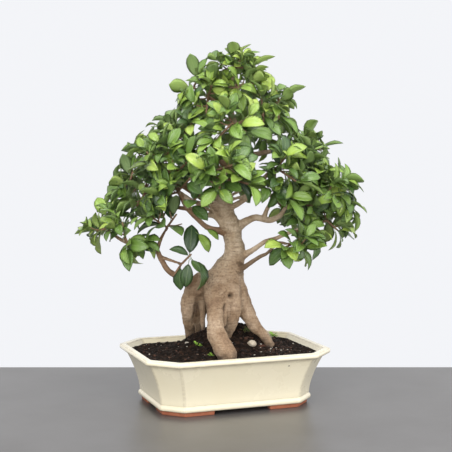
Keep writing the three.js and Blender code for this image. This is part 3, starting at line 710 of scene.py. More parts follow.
# Thin old shoots that have grown together at the top of the bole.
TANGLE = [
    [
        [-4, -8, 398, 5], [-24, -18, 402, 3.4], [-48, -24, 412, 2.8], [-72, -28, 430, 2.4],
        [-88, -38, 442, 2.2],
    ],
    [
        [-6, -10, 405, 5], [-22, -22, 412, 3.2], [-40, -28, 418, 2.8], [-62, -32, 424, 2.4],
        [-91, -38, 434, 2.2],
    ],
    [[-4, -6, 388, 5], [-26, -20, 392, 3.4], [-50, -26, 402, 2.8], [-72, -30, 411, 2.5]],
    [
        [-2, -12, 412, 4.5], [-18, -24, 420, 3], [-36, -22, 428, 2.6], [-52, -6, 440, 2.2],
        [-56, 6, 462, 2.2],
    ],
    [
        [-8, -12, 392, 4], [-20, -26, 400, 2.8], [-30, -30, 416, 2.4], [-30, -22, 434, 2.2],
        [-28, -8, 452, 2.2],
    ],
    [[4, -10, 428, 4.5], [22, -24, 438, 3], [42, -28, 448, 2.5], [58, -32, 450, 2.2]],
    [[6, -10, 420, 4.5], [24, -26, 428, 3], [44, -28, 434, 2.5], [58, -32, 440, 2.2]],
]
# A spray of leaves grows at one point of a limb, and its twigs end at the tips.
SPRAYS = [
    ["lowLeft", 7, [[-264, 2, 358], [-244, 24, 392]]],
    ["lowLeft", 6, [[-208, -42, 380], [-194, -54, 332]]],
    ["riser", 2, [[-146, -84, 394], [-96, -60, 398]]],
    ["hanging", 2, [[-66, -76, 318], [-104, -74, 272]]],
    ["leftMiddle", 3, [[-56, -100, 432]]],
    ["leftMiddle", 4, [[-126, -88, 434], [-66, -118, 474]]],
    ["leftMiddle", 5, [[-74, -102, 504]]],
    ["leftMiddle", 6, [[-148, -64, 500], [-114, -50, 532]]],
    ["leftFar", 3, [[-182, 0, 410], [-158, -32, 466]]],
    ["leftFar", 4, [[-214, 32, 446], [-194, 58, 484]]],
    ["leftBack", 2, [[-92, 150, 500]]],
    ["leftBack", 3, [[-126, 172, 440]]],
    ["leftBack", 4, [[-162, 124, 522], [-200, 116, 426]]],
    ["leftUpper", 2, [[-90, -38, 540], [-66, -26, 584]]],
    ["leftUpper", 3, [[-112, 28, 568], [-136, 66, 544]]],
    ["rightLow", 4, [[168, -56, 366]]],
    ["rightLow", 5, [[186, 56, 384]]],
    ["rightLow", 6, [[240, 12, 358], [222, 54, 392]]],
    ["rightThin", 5, [[156, -84, 330], [124, -90, 334]]],
    ["rightMiddle", 6, [[180, -52, 414]]],
    ["rightMiddle", 7, [[226, -40, 430], [202, -16, 474]]],
    ["rightMiddle", 8, [[244, 10, 464], [266, 8, 406]]],
    ["rightRiser", 3, [[126, -80, 436], [88, -76, 454]]],
    ["rightUpper", 4, [[144, -92, 466], [118, -80, 512]]],
    ["rightUpper", 5, [[158, -48, 498], [192, -2, 506]]],
    ["rightBack", 2, [[178, 160, 468], [232, 118, 452]]],
    ["rightBack", 3, [[212, 104, 526], [174, 130, 552]]],
    ["rightRear", 2, [[142, 142, 384]]],
    ["rightRear", 3, [[190, 130, 398], [172, 96, 430]]],
    ["backLow", 2, [[-20, 192, 406], [40, 178, 436]]],
    ["backLow", 3, [[-64, 190, 466], [4, 202, 490]]],
    ["backHigh", 2, [[112, 100, 592]]],
    ["backHigh", 3, [[36, 150, 568], [94, 150, 544]]],
    ["frontLow", 2, [[-10, -152, 454], [48, -134, 462]]],
    ["frontLow", 3, [[-34, -142, 486], [16, -156, 500]]],
    ["frontHigh", 2, [[6, -72, 604]]],
    ["frontHigh", 3, [[-16, -108, 548], [44, -104, 564]]],
    ["upperRight", 2, [[78, -2, 636], [80, -54, 578]]],
    ["upperRight", 3, [[118, 32, 632], [114, -2, 590]]],
    ["upperLeft", 2, [[-22, -12, 662], [-36, -46, 602]]],
    ["upperLeft", 3, [[-74, 22, 632], [-52, 24, 678]]],
    ["upperBack", 2, [[60, 104, 652], [-4, 104, 658]]],
    ["bole", 19, [[28, -36, 652], [68, 20, 666]]],
    ["bole", 20, [[22, 28, 712], [50, 22, 698], [-2, 10, 692]]],
]
SEAT_GAP = 0.3
STUB_LENGTH = 10
STUB_RADIUS = 3
FORK_AT = 9
TWIG_RADII = [2.8, 2.5, 2.2, 1.9]
WOOD_VOXEL = 2.0
# The limbs are drawn a little too thick, because melting and rubbing them takes some off again.
LIMB_SWELL = 0.35
SAMPLE_STEP = 4
THICK_WOOD = 9
THICK_PASSES = 14
ALL_PASSES = 3
CLOSENESS_RAYS = 8
CLOSENESS_REACH = 45
CLOSENESS_FROM = 0.25
CLOSENESS_HEIGHTS = (100, 285)
SPLASH_HEIGHT = 26
# Marks on the bark, by the points of the picture where they are seen: a knot hole with a raised rim, a slit
# below it, the pitted scar of a lost limb, and the level groove that an old wire has left.
KNOT_SEEN_AT = (230.3, 295.8)
KNOT_REACH = 14
KNOT_WIDTH = 4.6
KNOT_DEPTH = 9
KNOT_RIM_AT = 8.5
KNOT_RIM_WIDTH = 2.6
KNOT_RIM_HEIGHT = 1.6
SLIT_SEEN_AT = [(225.2, 305.5), (224.2, 311.5)]
SLIT_REACH = 10
SLIT_WIDTH = 2.8
SLIT_DEPTH = 7
# How wide the painted shade along the slit spreads.
SLIT_SHADE_WIDTH = 3.0
SCAR_SEEN_AT = (207, 279)
SCAR_REACH = 30
SCAR_DEPTH = 2.2
GROOVE_SEEN_AT = (214, 309)
GROOVE_REACH = 34
GROOVE_WIDTH = 1.6
GROOVE_DEPTH = 0.9
# How red-brown or dark each part of the wood is. Parts that aren't named are as tan as the bole.
REDDISH = {
    "lowLeft", "riser", "hanging", "leftMiddle", "leftFar", "leftUpper", "leftBack", "frontLow",
    "upperLeft",
}
DARK = {"rightThin", "rightRear", "backLow", "backHigh", "rightBack", "upperBack"}


def curve_point(limb, t):
    """The smooth curve through a limb's points, at a share of its length."""
    place = held(t) * (len(limb) - 1)
    i = min(int(place), len(limb) - 2)
    share = place - i
    first = Vector(limb[i][:3])
    second = Vector(limb[i + 1][:3])
    before = Vector(limb[i - 1][:3]) if i else 2 * first - second
    after = Vector(limb[i + 2][:3]) if i + 2 < len(limb) else 2 * second - first
    leave = (second - before) / 2
    reach = (after - first) / 2
    square = share * share
    return (
        first + leave * share
        + (3 * (second - first) - 2 * leave - reach) * square
        + (2 * (first - second) + leave + reach) * square * share
    )


def curve_way(limb, t):
    """The way that the curve runs there."""
    return (curve_point(limb, min(t + 0.0001, 1)) - curve_point(limb, max(t - 0.0001, 0))).normalized()


def curve_length(limb):
    points = [curve_point(limb, i / 200) for i in range(201)]
    return sum((b - a).length for a, b in zip(points, points[1:]))


def radius_at(limb, t):
    place = t * (len(limb) - 1)
    i = min(int(place), len(limb) - 2)
    return limb[i][3] + (limb[i + 1][3] - limb[i][3]) * (place - i)


def seat_of(spray):
    """Where a spray sits: at its limb's end, or on a stub that leaves the limb toward the spray's tips."""
    name, index, tips = spray
    limb = LIMBS[name]
    start = Vector(limb[index][:3])
    if index == len(limb) - 1:
        return start, (start - Vector(limb[index - 1][:3])).normalized(), None
    aim = sum(((Vector(tip) - start).normalized() for tip in tips), Vector()).normalized()
    at = start + aim * (limb[index][3] + STUB_LENGTH)
    return at, aim, [[*start, STUB_RADIUS + 0.6], [*at, STUB_RADIUS]]


def tubes(limbs, step, sides, swell=0):
    """Closed round tubes along limbs, as one mesh."""
    curve = bpy.data.curves.new("limbs", "CURVE")
    curve.dimensions = "3D"
    curve.bevel_depth = 1
    curve.bevel_resolution = sides // 2 - 2
    curve.use_fill_caps = True
    for limb in limbs:
        count = max(2, math.ceil(curve_length(limb) / step))
        spline = curve.splines.new("POLY")
        spline.points.add(count)
        for i, point in enumerate(spline.points):
            point.co = (*curve_point(limb, i / count), 1)
            point.radius = radius_at(limb, i / count) + swell
    drawn = put("limbs", curve)
    made = bpy.data.meshes.new_from_object(drawn)
    bpy.data.objects.remove(drawn)
    mesh = bmesh.new()
    mesh.from_mesh(made)
    bmesh.ops.remove_doubles(mesh, verts=mesh.verts, dist=0.0005)
    bmesh.ops.recalc_face_normals(mesh, faces=mesh.faces)
    return mesh


def melted(mesh, voxel):
    """The tubes melted into one even skin."""
    lump = put("wood", data_from("wood", mesh))
    melt = lump.modifiers.new("melt", "REMESH")
    melt.mode = "VOXEL"
    melt.voxel_size = voxel
    skin = bpy.data.meshes.new_from_object(lump.evaluated_get(bpy.context.evaluated_depsgraph_get()))
    bpy.data.objects.remove(lump)
    mesh = bmesh.new()
    mesh.from_mesh(skin)
    return mesh


def wood_samples(limbs):
    """Points along every limb, each with the limb's radius there and its shade."""
    samples = []
    for name, limb in limbs:
        shade = 0.5 if name in REDDISH else 1.0 if name in DARK else 0.0
        count = math.ceil(curve_length(limb) / SAMPLE_STEP)
        for i in range(count + 1):
            samples.append((curve_point(limb, i / count), radius_at(limb, i / count), shade))
    return samples


def nearest_samples(mesh, samples):
    """For each point of the skin, the sample whose wood it covers."""
    tree = kdtree.KDTree(len(samples))
    for i, (at, _, _) in enumerate(samples):
        tree.insert(at, i)
    tree.balance()
    nearest = []
    for vert in mesh.verts:
        near = min((distance - samples[i][1], i) for _, i, distance in tree.find_n(vert.co, 6))
        nearest.append(samples[near[1]])
    return nearest


def rub_smooth(mesh, verts, passes):
    """Rubbing fills the creases between limbs."""
    for _ in range(passes):
        bmesh.ops.smooth_vert(
            mesh, verts=verts, factor=0.5, use_axis_x=True, use_axis_y=True, use_axis_z=True,
        )


def work_bark(mesh, nearest):
    """The wood swells and dips, flutes run up its foot and rings go round its neck.

    How dark the bark is, with painted shade low on the bole where the crown shades it, and how much soil has
    splashed on it, is kept with each point.
    """
    shade_layer = mesh.verts.layers.float["shade"]
    soiled_layer = mesh.verts.layers.float["soiled"]
    mesh.normal_update()
    moves = []
    for vert, (_, radius, shade) in zip(mesh.verts, nearest):
        x, y, z = vert.co
        # Painted shade low on the bole, where the crown shades it, darkens the bark from 330 mm down.
        crown_shade = 0.3 * held((330 - z) / 80)
        vert[shade_layer] = max(shade * held((13 - radius) / 4), crown_shade)
        girth = min(radius / 16, 1)
        swell = (
            1.9 * noise.noise(vert.co / 21) + 1.2 * noise.noise(vert.co / 8.5)
            + 0.7 * noise.noise(vert.co / 4)
        )
        flutes = 1.8 * noise.noise(Vector((x / 9, y / 9, z / 50))) * held((275 - z) / 30)
        rings = math.sin(z * 0.75 + 6 * noise.noise(vert.co / 20)) * max(noise.noise(vert.co / 15), 0) * 0.8
        on_neck = held((z - 255) / 40) * held((radius - 12) / 4)
        moves.append(vert.normal * ((swell + flutes) * girth + rings * on_neck))
        on_pot = TREE_TURN @ vert.co
        above = z - soil_height(on_pot.x, on_pot.y)
        splashed = SPLASH_HEIGHT - above + 14 * noise.noise(vert.co / 9)
        vert[soiled_layer] = held(splashed / SPLASH_HEIGHT)
    for vert, move in zip(mesh.verts, moves):
        vert.co += move


def ray_into_tree(x, y):
    """The camera's place and the way it looks through one point of its picture, in the tree's frame."""
    return INTO_TREE @ CAMERA_AT, INTO_TREE.to_3x3() @ look_through(x, y)


def bell(away, width):
    """One in the middle, and falling off to nought all round."""
    return math.exp(-(away / width) ** 2)


def cut_marks(mesh):
    """The knot hole, the slit, the scar and the groove are cut where they are seen. Shade is painted into the
    knot hole, along the slit and in the scar's pits.
    """
    surface = BVHTree.FromBMesh(mesh)
    spots = (KNOT_SEEN_AT, *SLIT_SEEN_AT, SCAR_SEEN_AT, GROOVE_SEEN_AT)
    knot, slit_top, slit_foot, scar, groove = (surface.ray_cast(*ray_into_tree(*spot))[0] for spot in spots)
    slit = slit_foot - slit_top
    hollow_layer = mesh.verts.layers.float["hollow"]
    mesh.normal_update()
    for vert in mesh.verts:
        away = (vert.co - scar).length
        if away < SCAR_REACH:
            pits = noise.noise(vert.co / 3.2) * (1 - away / SCAR_REACH)
            vert.co += vert.normal * SCAR_DEPTH * pits
            # Painted shade in the scar's pits.
            vert[hollow_layer] = held(-pits * 1.6)
        away = vert.co - groove
        if abs(away.z) < 2.5 * GROOVE_WIDTH and away.length < GROOVE_REACH:
            vert.co -= vert.normal * GROOVE_DEPTH * bell(away.z, GROOVE_WIDTH)
        away = (vert.co - knot).length
        if away < KNOT_REACH:
            rim = KNOT_RIM_HEIGHT * bell(away - KNOT_RIM_AT, KNOT_RIM_WIDTH)
            sunk = bell(away, KNOT_WIDTH)
            vert.co += vert.normal * (rim - KNOT_DEPTH * sunk)
            # Painted shade in the knot hole.
            vert[hollow_layer] = max(vert[hollow_layer], sunk)
        along = held((vert.co - slit_top).dot(slit) / slit.length_squared)
        away = (vert.co - slit_top - slit * along).length
        if away < SLIT_REACH:
            vert.co -= vert.normal * SLIT_DEPTH * bell(away, SLIT_WIDTH)
            # Painted shade along the slit.
            vert[hollow_layer] = max(vert[hollow_layer], bell(away, SLIT_SHADE_WIDTH))


def closeness(surface, vert):
    """How closed in a place is between the roots, by how many rays from it meet other wood. It is painted
    there as shade.
    """
    beside = vert.normal.orthogonal()
    met = 0
    for i in range(CLOSENESS_RAYS):
        way = beside.copy()
        way.rotate(Matrix.Rotation(math.tau * i / CLOSENESS_RAYS, 3, vert.normal))
        way = (way + vert.normal * (0.4 + 0.5 * (i % 2))).normalized()
        met += surface.ray_cast(vert.co + vert.normal * 0.5, way, CLOSENESS_REACH)[0] is not None
    return max(0, met / CLOSENESS_RAYS - CLOSENESS_FROM) * 0.95


def note_hollows(mesh):
    """Painted shade for creases, and for closed-in places low on the tree, is kept with each point."""
    mesh.normal_update()
    surface = BVHTree.FromBMesh(mesh)
    hollow_layer = mesh.verts.layers.float["hollow"]
    for vert in mesh.verts:
        ring = [edge.other_vert(vert).co for edge in vert.link_edges]
        dip = (sum(ring, Vector()) / len(ring) - vert.co).dot(vert.normal)
        is_low = CLOSENESS_HEIGHTS[0] < vert.co.z < CLOSENESS_HEIGHTS[1]
        closed_in = closeness(surface, vert) if is_low else 0
        vert[hollow_layer] = max(vert[hollow_layer], held(dip * 1.5, 0.6), closed_in)


def wood_mesh(stubs):
    """All the wood: the limbs melted together, rubbed smooth, worked over and marked."""
    limbs = [*LIMBS.items()] + [("tangle", limb) for limb in TANGLE] + [("stub", stub) for stub in stubs]
    mesh = melted(tubes([limb for _, limb in limbs], 5, 12, LIMB_SWELL), WOOD_VOXEL)
    nearest = nearest_samples(mesh, wood_samples(limbs))
    thick = [vert for vert, (_, radius, _) in zip(mesh.verts, nearest) if radius > THICK_WOOD]
    rub_smooth(mesh, thick, THICK_PASSES)
    rub_smooth(mesh, mesh.verts, ALL_PASSES)
    for name in ("shade", "hollow", "soiled"):
        mesh.verts.layers.float.new(name)
    work_bark(mesh, nearest)
    cut_marks(mesh)
    note_hollows(mesh)
    return mesh


def bark_finish():
    """Tan bark, browner on thin limbs, with fine level wrinkles, painted shade in its hollows and low on its
    bole, and soil on its foot.
    """
    finish, shader = new_finish("fig_bark", roughness=0.8)
    mottled = mottle(finish, 21, 420, 0.17)
    tan = ramp(
        finish, mottled["Blotches"],
        (0.30, (0.31, 0.205, 0.125)), (0.45, (0.49, 0.365, 0.235)), (0.62, (0.67, 0.54, 0.39)),
    )
    fine = mottle(finish, 240, 900, 0.3)
    grain = ramp(finish, fine["Blotches"], (0.35, (0.55, 0.48, 0.41)), (0.6, (1, 1, 1)))
    grained = blend(finish, 0.5, tan, grain, "MULTIPLY")
    # The shade value gives thin limbs their red-brown or dark tint, and paints shade low on the bole.
    tint_and_low_shade = ramp(
        finish, painted(finish, "shade"),
        (0.0, (1, 1, 1)), (0.5, (0.60, 0.49, 0.42)), (1.0, (0.44, 0.40, 0.36)),
    )
    tinted_and_shaded = blend(finish, 1.0, grained, tint_and_low_shade, "MULTIPLY")
    rings = cloud(finish, stretched(finish, (45, 45, 300)), 1.0, 4.0)
    wrinkles = ramp(finish, rings, (0.36, (0.5, 0.42, 0.35)), (0.52, (1, 1, 1)))
    ringed = blend(finish, 0.4, tinted_and_shaded, wrinkles, "MULTIPLY")
    pitted = blend(finish, mottled["Specks"], ringed, (0.27, 0.17, 0.10))
    # Painted shade darkens the creases, the pits, the knot hole, the slit and the closed-in places between
    # the roots.
    hollow_shaded = blend(finish, painted(finish, "hollow"), pitted, (0.05, 0.03, 0.018))
    soiled = painted(finish, "soiled")
    dirt = math_of(finish, "MULTIPLY", math_of(finish, "MULTIPLY_ADD", soiled, fine["Blotches"], 0.3), soiled)
    feed(shader, "Base Color", blend(finish, dirt, hollow_shaded, (0.055, 0.035, 0.024)))
    bump(finish, shader, math_of(finish, "ADD", rings, fine["Relief"]), 0.0008)
    return finish


seats = [seat_of(spray) for spray in SPRAYS]
stubs = [stub for _, _, stub in seats if stub]
bark = bark_finish()
wood = piece_from("wood", wood_mesh(stubs), TREE_PLACE, bark)
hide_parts("trunk")

# Each spray is a twig with its side shoots and its leaves, which grow all round it. The leaves are leathery
# and glossy above, paler and matt below, folded along a light midrib and bent back at the tip.
# Young ones at the shoots' ends are yellow-green.
LEAF_LENGTH = 50
STALK_SHARE = 0.2
ROOT_SUNK = 1.2
GOLDEN_ANGLE = 2.4
# A blade's rows, from its foot to its tip: the place along it and its half width, as shares of its length.
BLADE_ROWS = [
    (0, 0.02), (0.09, 0.115), (0.25, 0.215), (0.43, 0.268), (0.61, 0.264), (0.78, 0.2), (0.91, 0.09),
    (1, 0.0),
]
BLADE_THICKNESS = 0.012
# How far a leaf keeps from other sprays and the wood, and from the leaves of its own spray.
MAIN_CLEAR = (7.5, 4.5)
EXTRA_CLEAR = (3.0, 2.2)
# A leaf that finds no room is turned round its twig by this much, so many times.
NEXT_TURN = 0.9
MAIN_TRIES = 5
EXTRA_TRIES = 8
MAIN_LEAVES = 4
SHOOTS_AT = (0.45, 0.72)
SHOOT_RADII = (1.7, 1.5, 1.2)
# Where the extra leaves stand along a twig or a shoot, and how much their spread closes toward its end.
TWIG_TUFT = ((0.55, 0.66, 0.78, 0.9, 1.0, 1.0), 0.55)
SHOOT_TUFT = ((0.5, 0.7, 0.85, 1.0, 1.0, 1.0), 0.8)
TAKEN_ROOM = 60000


def blade_template(name, width, fold, wave):
    """A flat blade one unit long, as a closed skin with its stalk. Its underside has a finish of its own."""
    mesh = bmesh.new()
    uv = mesh.loops.layers.uv.new("UVMap")
    rows = len(BLADE_ROWS) - 1
    bmesh.ops.create_grid(mesh, x_segments=rows, y_segments=4, size=1, calc_uvs=True)
    below = bmesh.ops.duplicate(mesh, geom=mesh.faces[:])["geom"]
    under = [part for part in below if isinstance(part, bmesh.types.BMFace)]
    sunk = {part for part in below if isinstance(part, bmesh.types.BMVert) and not part.is_boundary}
    bmesh.ops.reverse_faces(mesh, faces=under)
    for face in under:
        face.material_index = 1
    for vert in mesh.verts:
        along, half = BLADE_ROWS[round((vert.co.x + 1) / 2 * rows)]
        across = vert.co.y
        rise = fold * half * abs(across) ** 1.2 + wave * half * math.sin(along * 11 + across) * across
        vert.co = (along, across * half * width, rise - (BLADE_THICKNESS if vert in sunk else 0))
    bmesh.ops.remove_doubles(mesh, verts=mesh.verts, dist=0.0001)
    stalk = bmesh.ops.create_cone(
        mesh, cap_ends=True, segments=3, radius1=0.018, radius2=0.012, depth=STALK_SHARE + 0.06,
        matrix=Matrix.Translation((0.03 - STALK_SHARE / 2, 0, -0.006)) @ Matrix.Rotation(math.pi / 2, 4, "Y"),
    )["verts"]
    for vert in stalk:
        for loop in vert.link_loops:
            loop[uv].uv = (0.02, 0.5)
    return data_from(name, mesh)


blades = [
    blade_template("plain_blade", 1.0, 0.34, 0.03),
    blade_template("narrow_blade", 0.88, 0.5, 0.06),
    blade_template("broad_blade", 1.06, 0.22, 0.08),
]


def twig_of(seat, tip, is_first):
    """A twig runs from its seat through the fork to its tip. Later twigs start inside the first."""
    at, aim, _ = seat
    start = at + aim * (SEAT_GAP if is_first else FORK_AT / 2)
    fork = at + aim * FORK_AT
    end = Vector(tip)
    points = [start, fork, fork.lerp(end, 0.5), end]
    return [[*point, TWIG_RADII[i] if is_first or i else TWIG_RADII[2]] for i, point in enumerate(points)]


def seeded(seed):
    """Draws in [0, 1) that come out the same each time."""
    state = seed
    while True:
        state = (state * 1664525 + 1013904223) % 4294967296
        yield state / 4294967296


def leaf_frame(twig, t, turn, draws, spread=None):
    """Where a leaf sits: its foot, the way it points, the way its face looks, its length and its curl."""
    axis = curve_way(twig, t)
    side = Vector((0.3, 0.2, 1))
    side = (side - axis * side.dot(axis)).normalized()
    radial = side * math.cos(turn) + axis.cross(side) * math.sin(turn)
    if spread is None:
        spread = 1.3 - 0.75 * t + 0.3 * (draws[0] - 0.5)
    aim = axis * math.cos(spread) + radial * math.sin(spread)
    aim.z += 0.1
    aim.normalize()
    foot = curve_point(twig, t)
    face = Vector((foot.x, foot.y, 0)).normalized() * 0.55 + axis * 0.5
    face.z += 0.75
    face = (face - aim * face.dot(aim)).normalized()
    face.rotate(Matrix.Rotation(1.1 * (draws[1] - 0.5), 3, aim))
    return foot, aim, face, LEAF_LENGTH * (0.86 + 0.26 * draws[2]), 0.25 + 0.75 * draws[3]


def leaf_point(leaf, along, across, rise):
    """A point of a leaf: so far along it, beside its midrib and over it, all as shares of its length."""
    foot, aim, face, length, curl = leaf
    past = max(0, along)
    bend = curl * past
    up = face * math.cos(bend) + aim * math.sin(bend)
    return (
        foot + aim * (length * (along - bend * bend * past / 6 + STALK_SHARE) - ROOT_SUNK)
        - face * (length * bend * past / 2) + face.cross(aim) * (across * length) + up * (rise * length)
    )


SAMPLE_PLACES = [(1, 0)] + [
    (along, half * across)
    for along, half in ((0.1, 0.1), (0.35, 0.235), (0.6, 0.23), (0.85, 0.12)) for across in (-1, 0, 1)
]


class Taken:
    """The points that wood and leaves already take, with the owner and radius of each."""

    def __init__(self, room):
        self.at = numpy.zeros((room, 3))
        self.radius = numpy.zeros(room)
        self.owner = numpy.zeros(room, int)
        self.count = 0

    def add(self, point, radius, owner):
        self.at[self.count] = point
        self.radius[self.count] = radius
        self.owner[self.count] = owner
        self.count += 1

    def is_clear(self, points, owner, of_others, of_own):
        mine = self.owner[:self.count] == owner
        radius = self.radius[:self.count]
        needed = numpy.where(mine, numpy.where(radius > 0, -1, of_own), of_others + radius)
        for point in points:
            away = numpy.linalg.norm(self.at[:self.count] - numpy.array(point), axis=1)
            if (away <= needed).any():
                return False
        return True


def samples_of(leaf):
    return [leaf_point(leaf, along, across, 0) for along, across in SAMPLE_PLACES]


def grow_leaf(taken, owner, clear, tries, make, fits=None):
    """The first of a few turns of a leaf that fits and clears its neighbours, or none."""
    for attempt in range(tries):
        leaf = make(attempt)
        if fits and not fits(leaf):
            continue
        points = samples_of(leaf)
        if taken.is_clear(points, owner, *clear):
            for point in points:
                taken.add(point, 0, owner)
            return leaf
    return None


def main_leaves(twigs, owner, taken):
    """The spray's own leaves, in the places that the frame gives them."""
    leaves = []
    for number, twig in enumerate(twigs):
        draw = seeded(1 + owner * 7919 + number * 104729)
        for i in range(MAIN_LEAVES):
            draws = [next(draw) for _ in range(4)]
            t = 0.4 + 0.6 * i / (MAIN_LEAVES - 1)
            leaf = grow_leaf(
                taken, owner, MAIN_CLEAR, MAIN_TRIES,
                lambda attempt: leaf_frame(twig, t, owner + GOLDEN_ANGLE * i + attempt * NEXT_TURN, draws),
            )
            if leaf:
                leaves.append((leaf, t))
    return leaves


def side_shoots(twigs, draw):
    """Short shoots that leave a twig and end in a tuft of leaves."""
    shoots = []
    for twig in twigs:
        for t in SHOOTS_AT:
            start = curve_point(twig, t)
            axis = curve_way(twig, t)
            side = Vector((draw.gauss(0, 1), draw.gauss(0, 1), draw.gauss(0.4, 0.8)))
            side = (side - axis * side.dot(axis)).normalized()
            aim = (axis * 0.7 + side).normalized()
            length = draw.uniform(16, 30)
            middle = start + aim * length * 0.5 + Vector((0, 0, -1))
            end = start + aim * length + Vector((0, 0, 2))
            shoots.append([[*point, radius] for point, radius in zip((start, middle, end), SHOOT_RADII)])
    return shoots


def extra_leaves(twigs, shoots, owner, taken, draw):
    """Tufts at the ends of twigs and shoots, and more leaves along the twigs."""
    leaves = []
    places = [(twig, t, TWIG_TUFT[1]) for twig in twigs for t in TWIG_TUFT[0]]
    places += [(shoot, t, SHOOT_TUFT[1]) for shoot in shoots for t in SHOOT_TUFT[0]]
    for twig, t, closing in places:
        draws = [draw.random() for _ in range(4)]
        spread = (1.25 - closing * t * t * 0.9) + 0.35 * (draws[0] - 0.5)
        turn = draw.uniform(0, FULL_TURN)
        leaf = grow_leaf(
            taken, owner, EXTRA_CLEAR, EXTRA_TRIES,
            lambda attempt: smaller(leaf_frame(twig, t, turn + attempt * NEXT_TURN, draws, spread), draws[1]),
            is_seen_well,
        )
        if leaf:
            leaves.append((leaf, t))
    return leaves


def smaller(leaf, share):
    """A younger leaf is shorter and bends back more, and the leaves near the tree's top are small."""
    foot, aim, face, length, curl = leaf
    high = held((foot.z - 540) / 150)
    return foot, aim, face, length * (0.6 + 0.34 * share) * (1 - 0.22 * high), curl * 1.3 + 0.2


# The crown's edge as the camera sees it, and the gaps in it that show the bole and its branches.
CROWN_EDGE = [
    (235, 44), (217, 51), (200, 55), (188, 62), (184, 80), (176, 93), (174, 109), (153, 120),
    (126, 133), (121, 149), (114, 163), (110, 178), (105, 197), (87, 207), (79, 227), (77, 236),
    (84, 242), (93, 256), (104, 264), (134, 264), (157, 271), (184, 292), (196, 280), (222, 270),
    (262, 262), (278, 262), (294, 264), (316, 276), (324, 253), (338, 252), (357, 240), (363, 232),
    (369, 213), (368, 188), (357, 181), (349, 180), (348, 164), (341, 147), (322, 131), (309, 131),
    (294, 116), (299, 104), (286, 85), (278, 84), (270, 67), (260, 52),
]
CROWN_GAPS = [
    [
        (230, 186), (262, 184), (276, 196), (277, 228), (288, 240), (276, 262), (246, 262), (243, 236),
        (236, 214),
    ],
    [
        (163, 212), (178, 186), (214, 188), (228, 200), (228, 262), (198, 270), (176, 262),
    ],
]
INTO_CAMERA = (
    (Matrix.Translation(CAMERA_AT) @ camera.rotation_quaternion.to_matrix().to_4x4()).inverted() @ TREE_TURN
)


def seen_at(point):
    """The point of the picture where a point of the tree is seen."""
    place = INTO_CAMERA @ point
    scale = FOCAL_LENGTH / -place.z
    return PICTURE_SIDE / 2 + place.x * scale, PICTURE_SIDE / 2 - place.y * scale


def is_within(spot, edge):
    """Whether a point of the picture lies within a closed line."""
    inside = False
    for i, (x, y) in enumerate(edge):
        before_x, before_y = edge[i - 1]
        is_level = (y > spot[1]) != (before_y > spot[1])
        if is_level and spot[0] < x + (spot[1] - y) * (before_x - x) / (before_y - y):
            inside = not inside
    return inside


def is_seen_well(leaf):
    """Whether an added leaf stays within the crown's edge and out of its gaps."""
    for along in (0.1, 0.55, 0.95):
        spot = seen_at(leaf_point(leaf, along, 0, 0))
        if not is_within(spot, CROWN_EDGE) or any(is_within(spot, gap) for gap in CROWN_GAPS):
            return False
    return True


CROWN_MIDDLE = Vector((0, 0, 430))
CROWN_HALF_SPAN = Vector((265, 190, 290))


def tone_of(leaf, t, draw):
    """How young a leaf is: old and dark inside and low down, young and yellow-green outside and high up."""
    foot, aim, _, length, _ = leaf
    tip = foot + aim * length - CROWN_MIDDLE
    outside = Vector(a / b for a, b in zip(tip, CROWN_HALF_SPAN)).length
    height = held((foot.z - 300) / 380)
    young = 0.55 * (outside - 0.62) + 0.2 * height + 0.16 * (t - 0.5)
    return held(0.33 + young + draw.gauss(0, 0.19), 0.95)


# The few large leaves of the low left shoot: foot and tip as the camera sees them, the depth of both, the way
# that the upper face looks, the blade's curl and how young it is.
LONE_OWNER = 3
LONE_LEAVES = [
    ((189, 258), (193, 223), (-72, -60), (0.2, -1, 0.3), 0.5, 0.05),
    ((191, 257), (171, 246), (-74, -84), (-0.2, -0.7, 0.8), 0.6, 0.2),
    ((191, 258), (213, 279), (-74, -92), (0.4, -0.3, 1), 1.5, 0.25),
    ((190, 259), (201, 270), (-74, -96), (0.3, -0.8, 0.6), 0.6, 0.35),
    ((189, 260), (185, 288), (-74, -86), (0, -1, 0.4), 0.5, 0.15),
    ((181, 264), (177, 291), (-70, -78), (-0.5, -0.9, 0.2), 0.6, 0.2),
    ((196, 232), (213, 247), (-60, -78), (0.5, -0.8, 0.5), 1.0, 0.75),
    ((205, 229), (221, 236), (-62, -70), (0.2, -0.6, 0.8), 0.8, 0.7),
]


def beneath(x, y, depth):
    """The tree's point at one depth that is seen at one point of the picture."""
    eye, way = ray_into_tree(x, y)
    return eye + way * ((depth - eye.y) / way.y)


def lone_leaf(foot_at, tip_at, depths, face, curl, tone):
    foot = beneath(*foot_at, depths[0])
    tip = beneath(*tip_at, depths[1])
    aim = (tip - foot).normalized()
    face = Vector(face)
    face = (face - aim * face.dot(aim)).normalized()
    return (foot, aim, face, (tip - foot).length / (1 + STALK_SHARE) * (1 + curl * curl / 12), curl), tone


def add_blade(mesh, blade):
    """One more blade in the mesh, of which the points are handed back."""
    count = len(mesh.verts)
    mesh.from_mesh(blade)
    mesh.verts.ensure_lookup_table()
    return mesh.verts[count:]


def spray_mesh(twigs, shoots, leaves, draw):
    """The twigs and shoots in bark, and a blade bent to the place of each leaf."""
    bare = tubes(twigs + shoots, 9, 6)
    for face in bare.faces:
        face.material_index = 2
    mesh = bmesh.new()
    mesh.from_mesh(data_from("twigs", bare))
    mesh.verts.layers.float.new("tone")
    mesh.loops.layers.uv.new("UVMap")
    for leaf, tone in leaves:
        folded = draw.uniform(0.7, 1.3)
        blade = add_blade(mesh, draw.choice(blades))
        tone_layer = mesh.verts.layers.float["tone"]
        for vert in blade:
            along, across, rise = vert.co
            vert.co = leaf_point(leaf, along, across, rise * folded if along > 0.05 else rise)
            vert[tone_layer] = tone
    return mesh


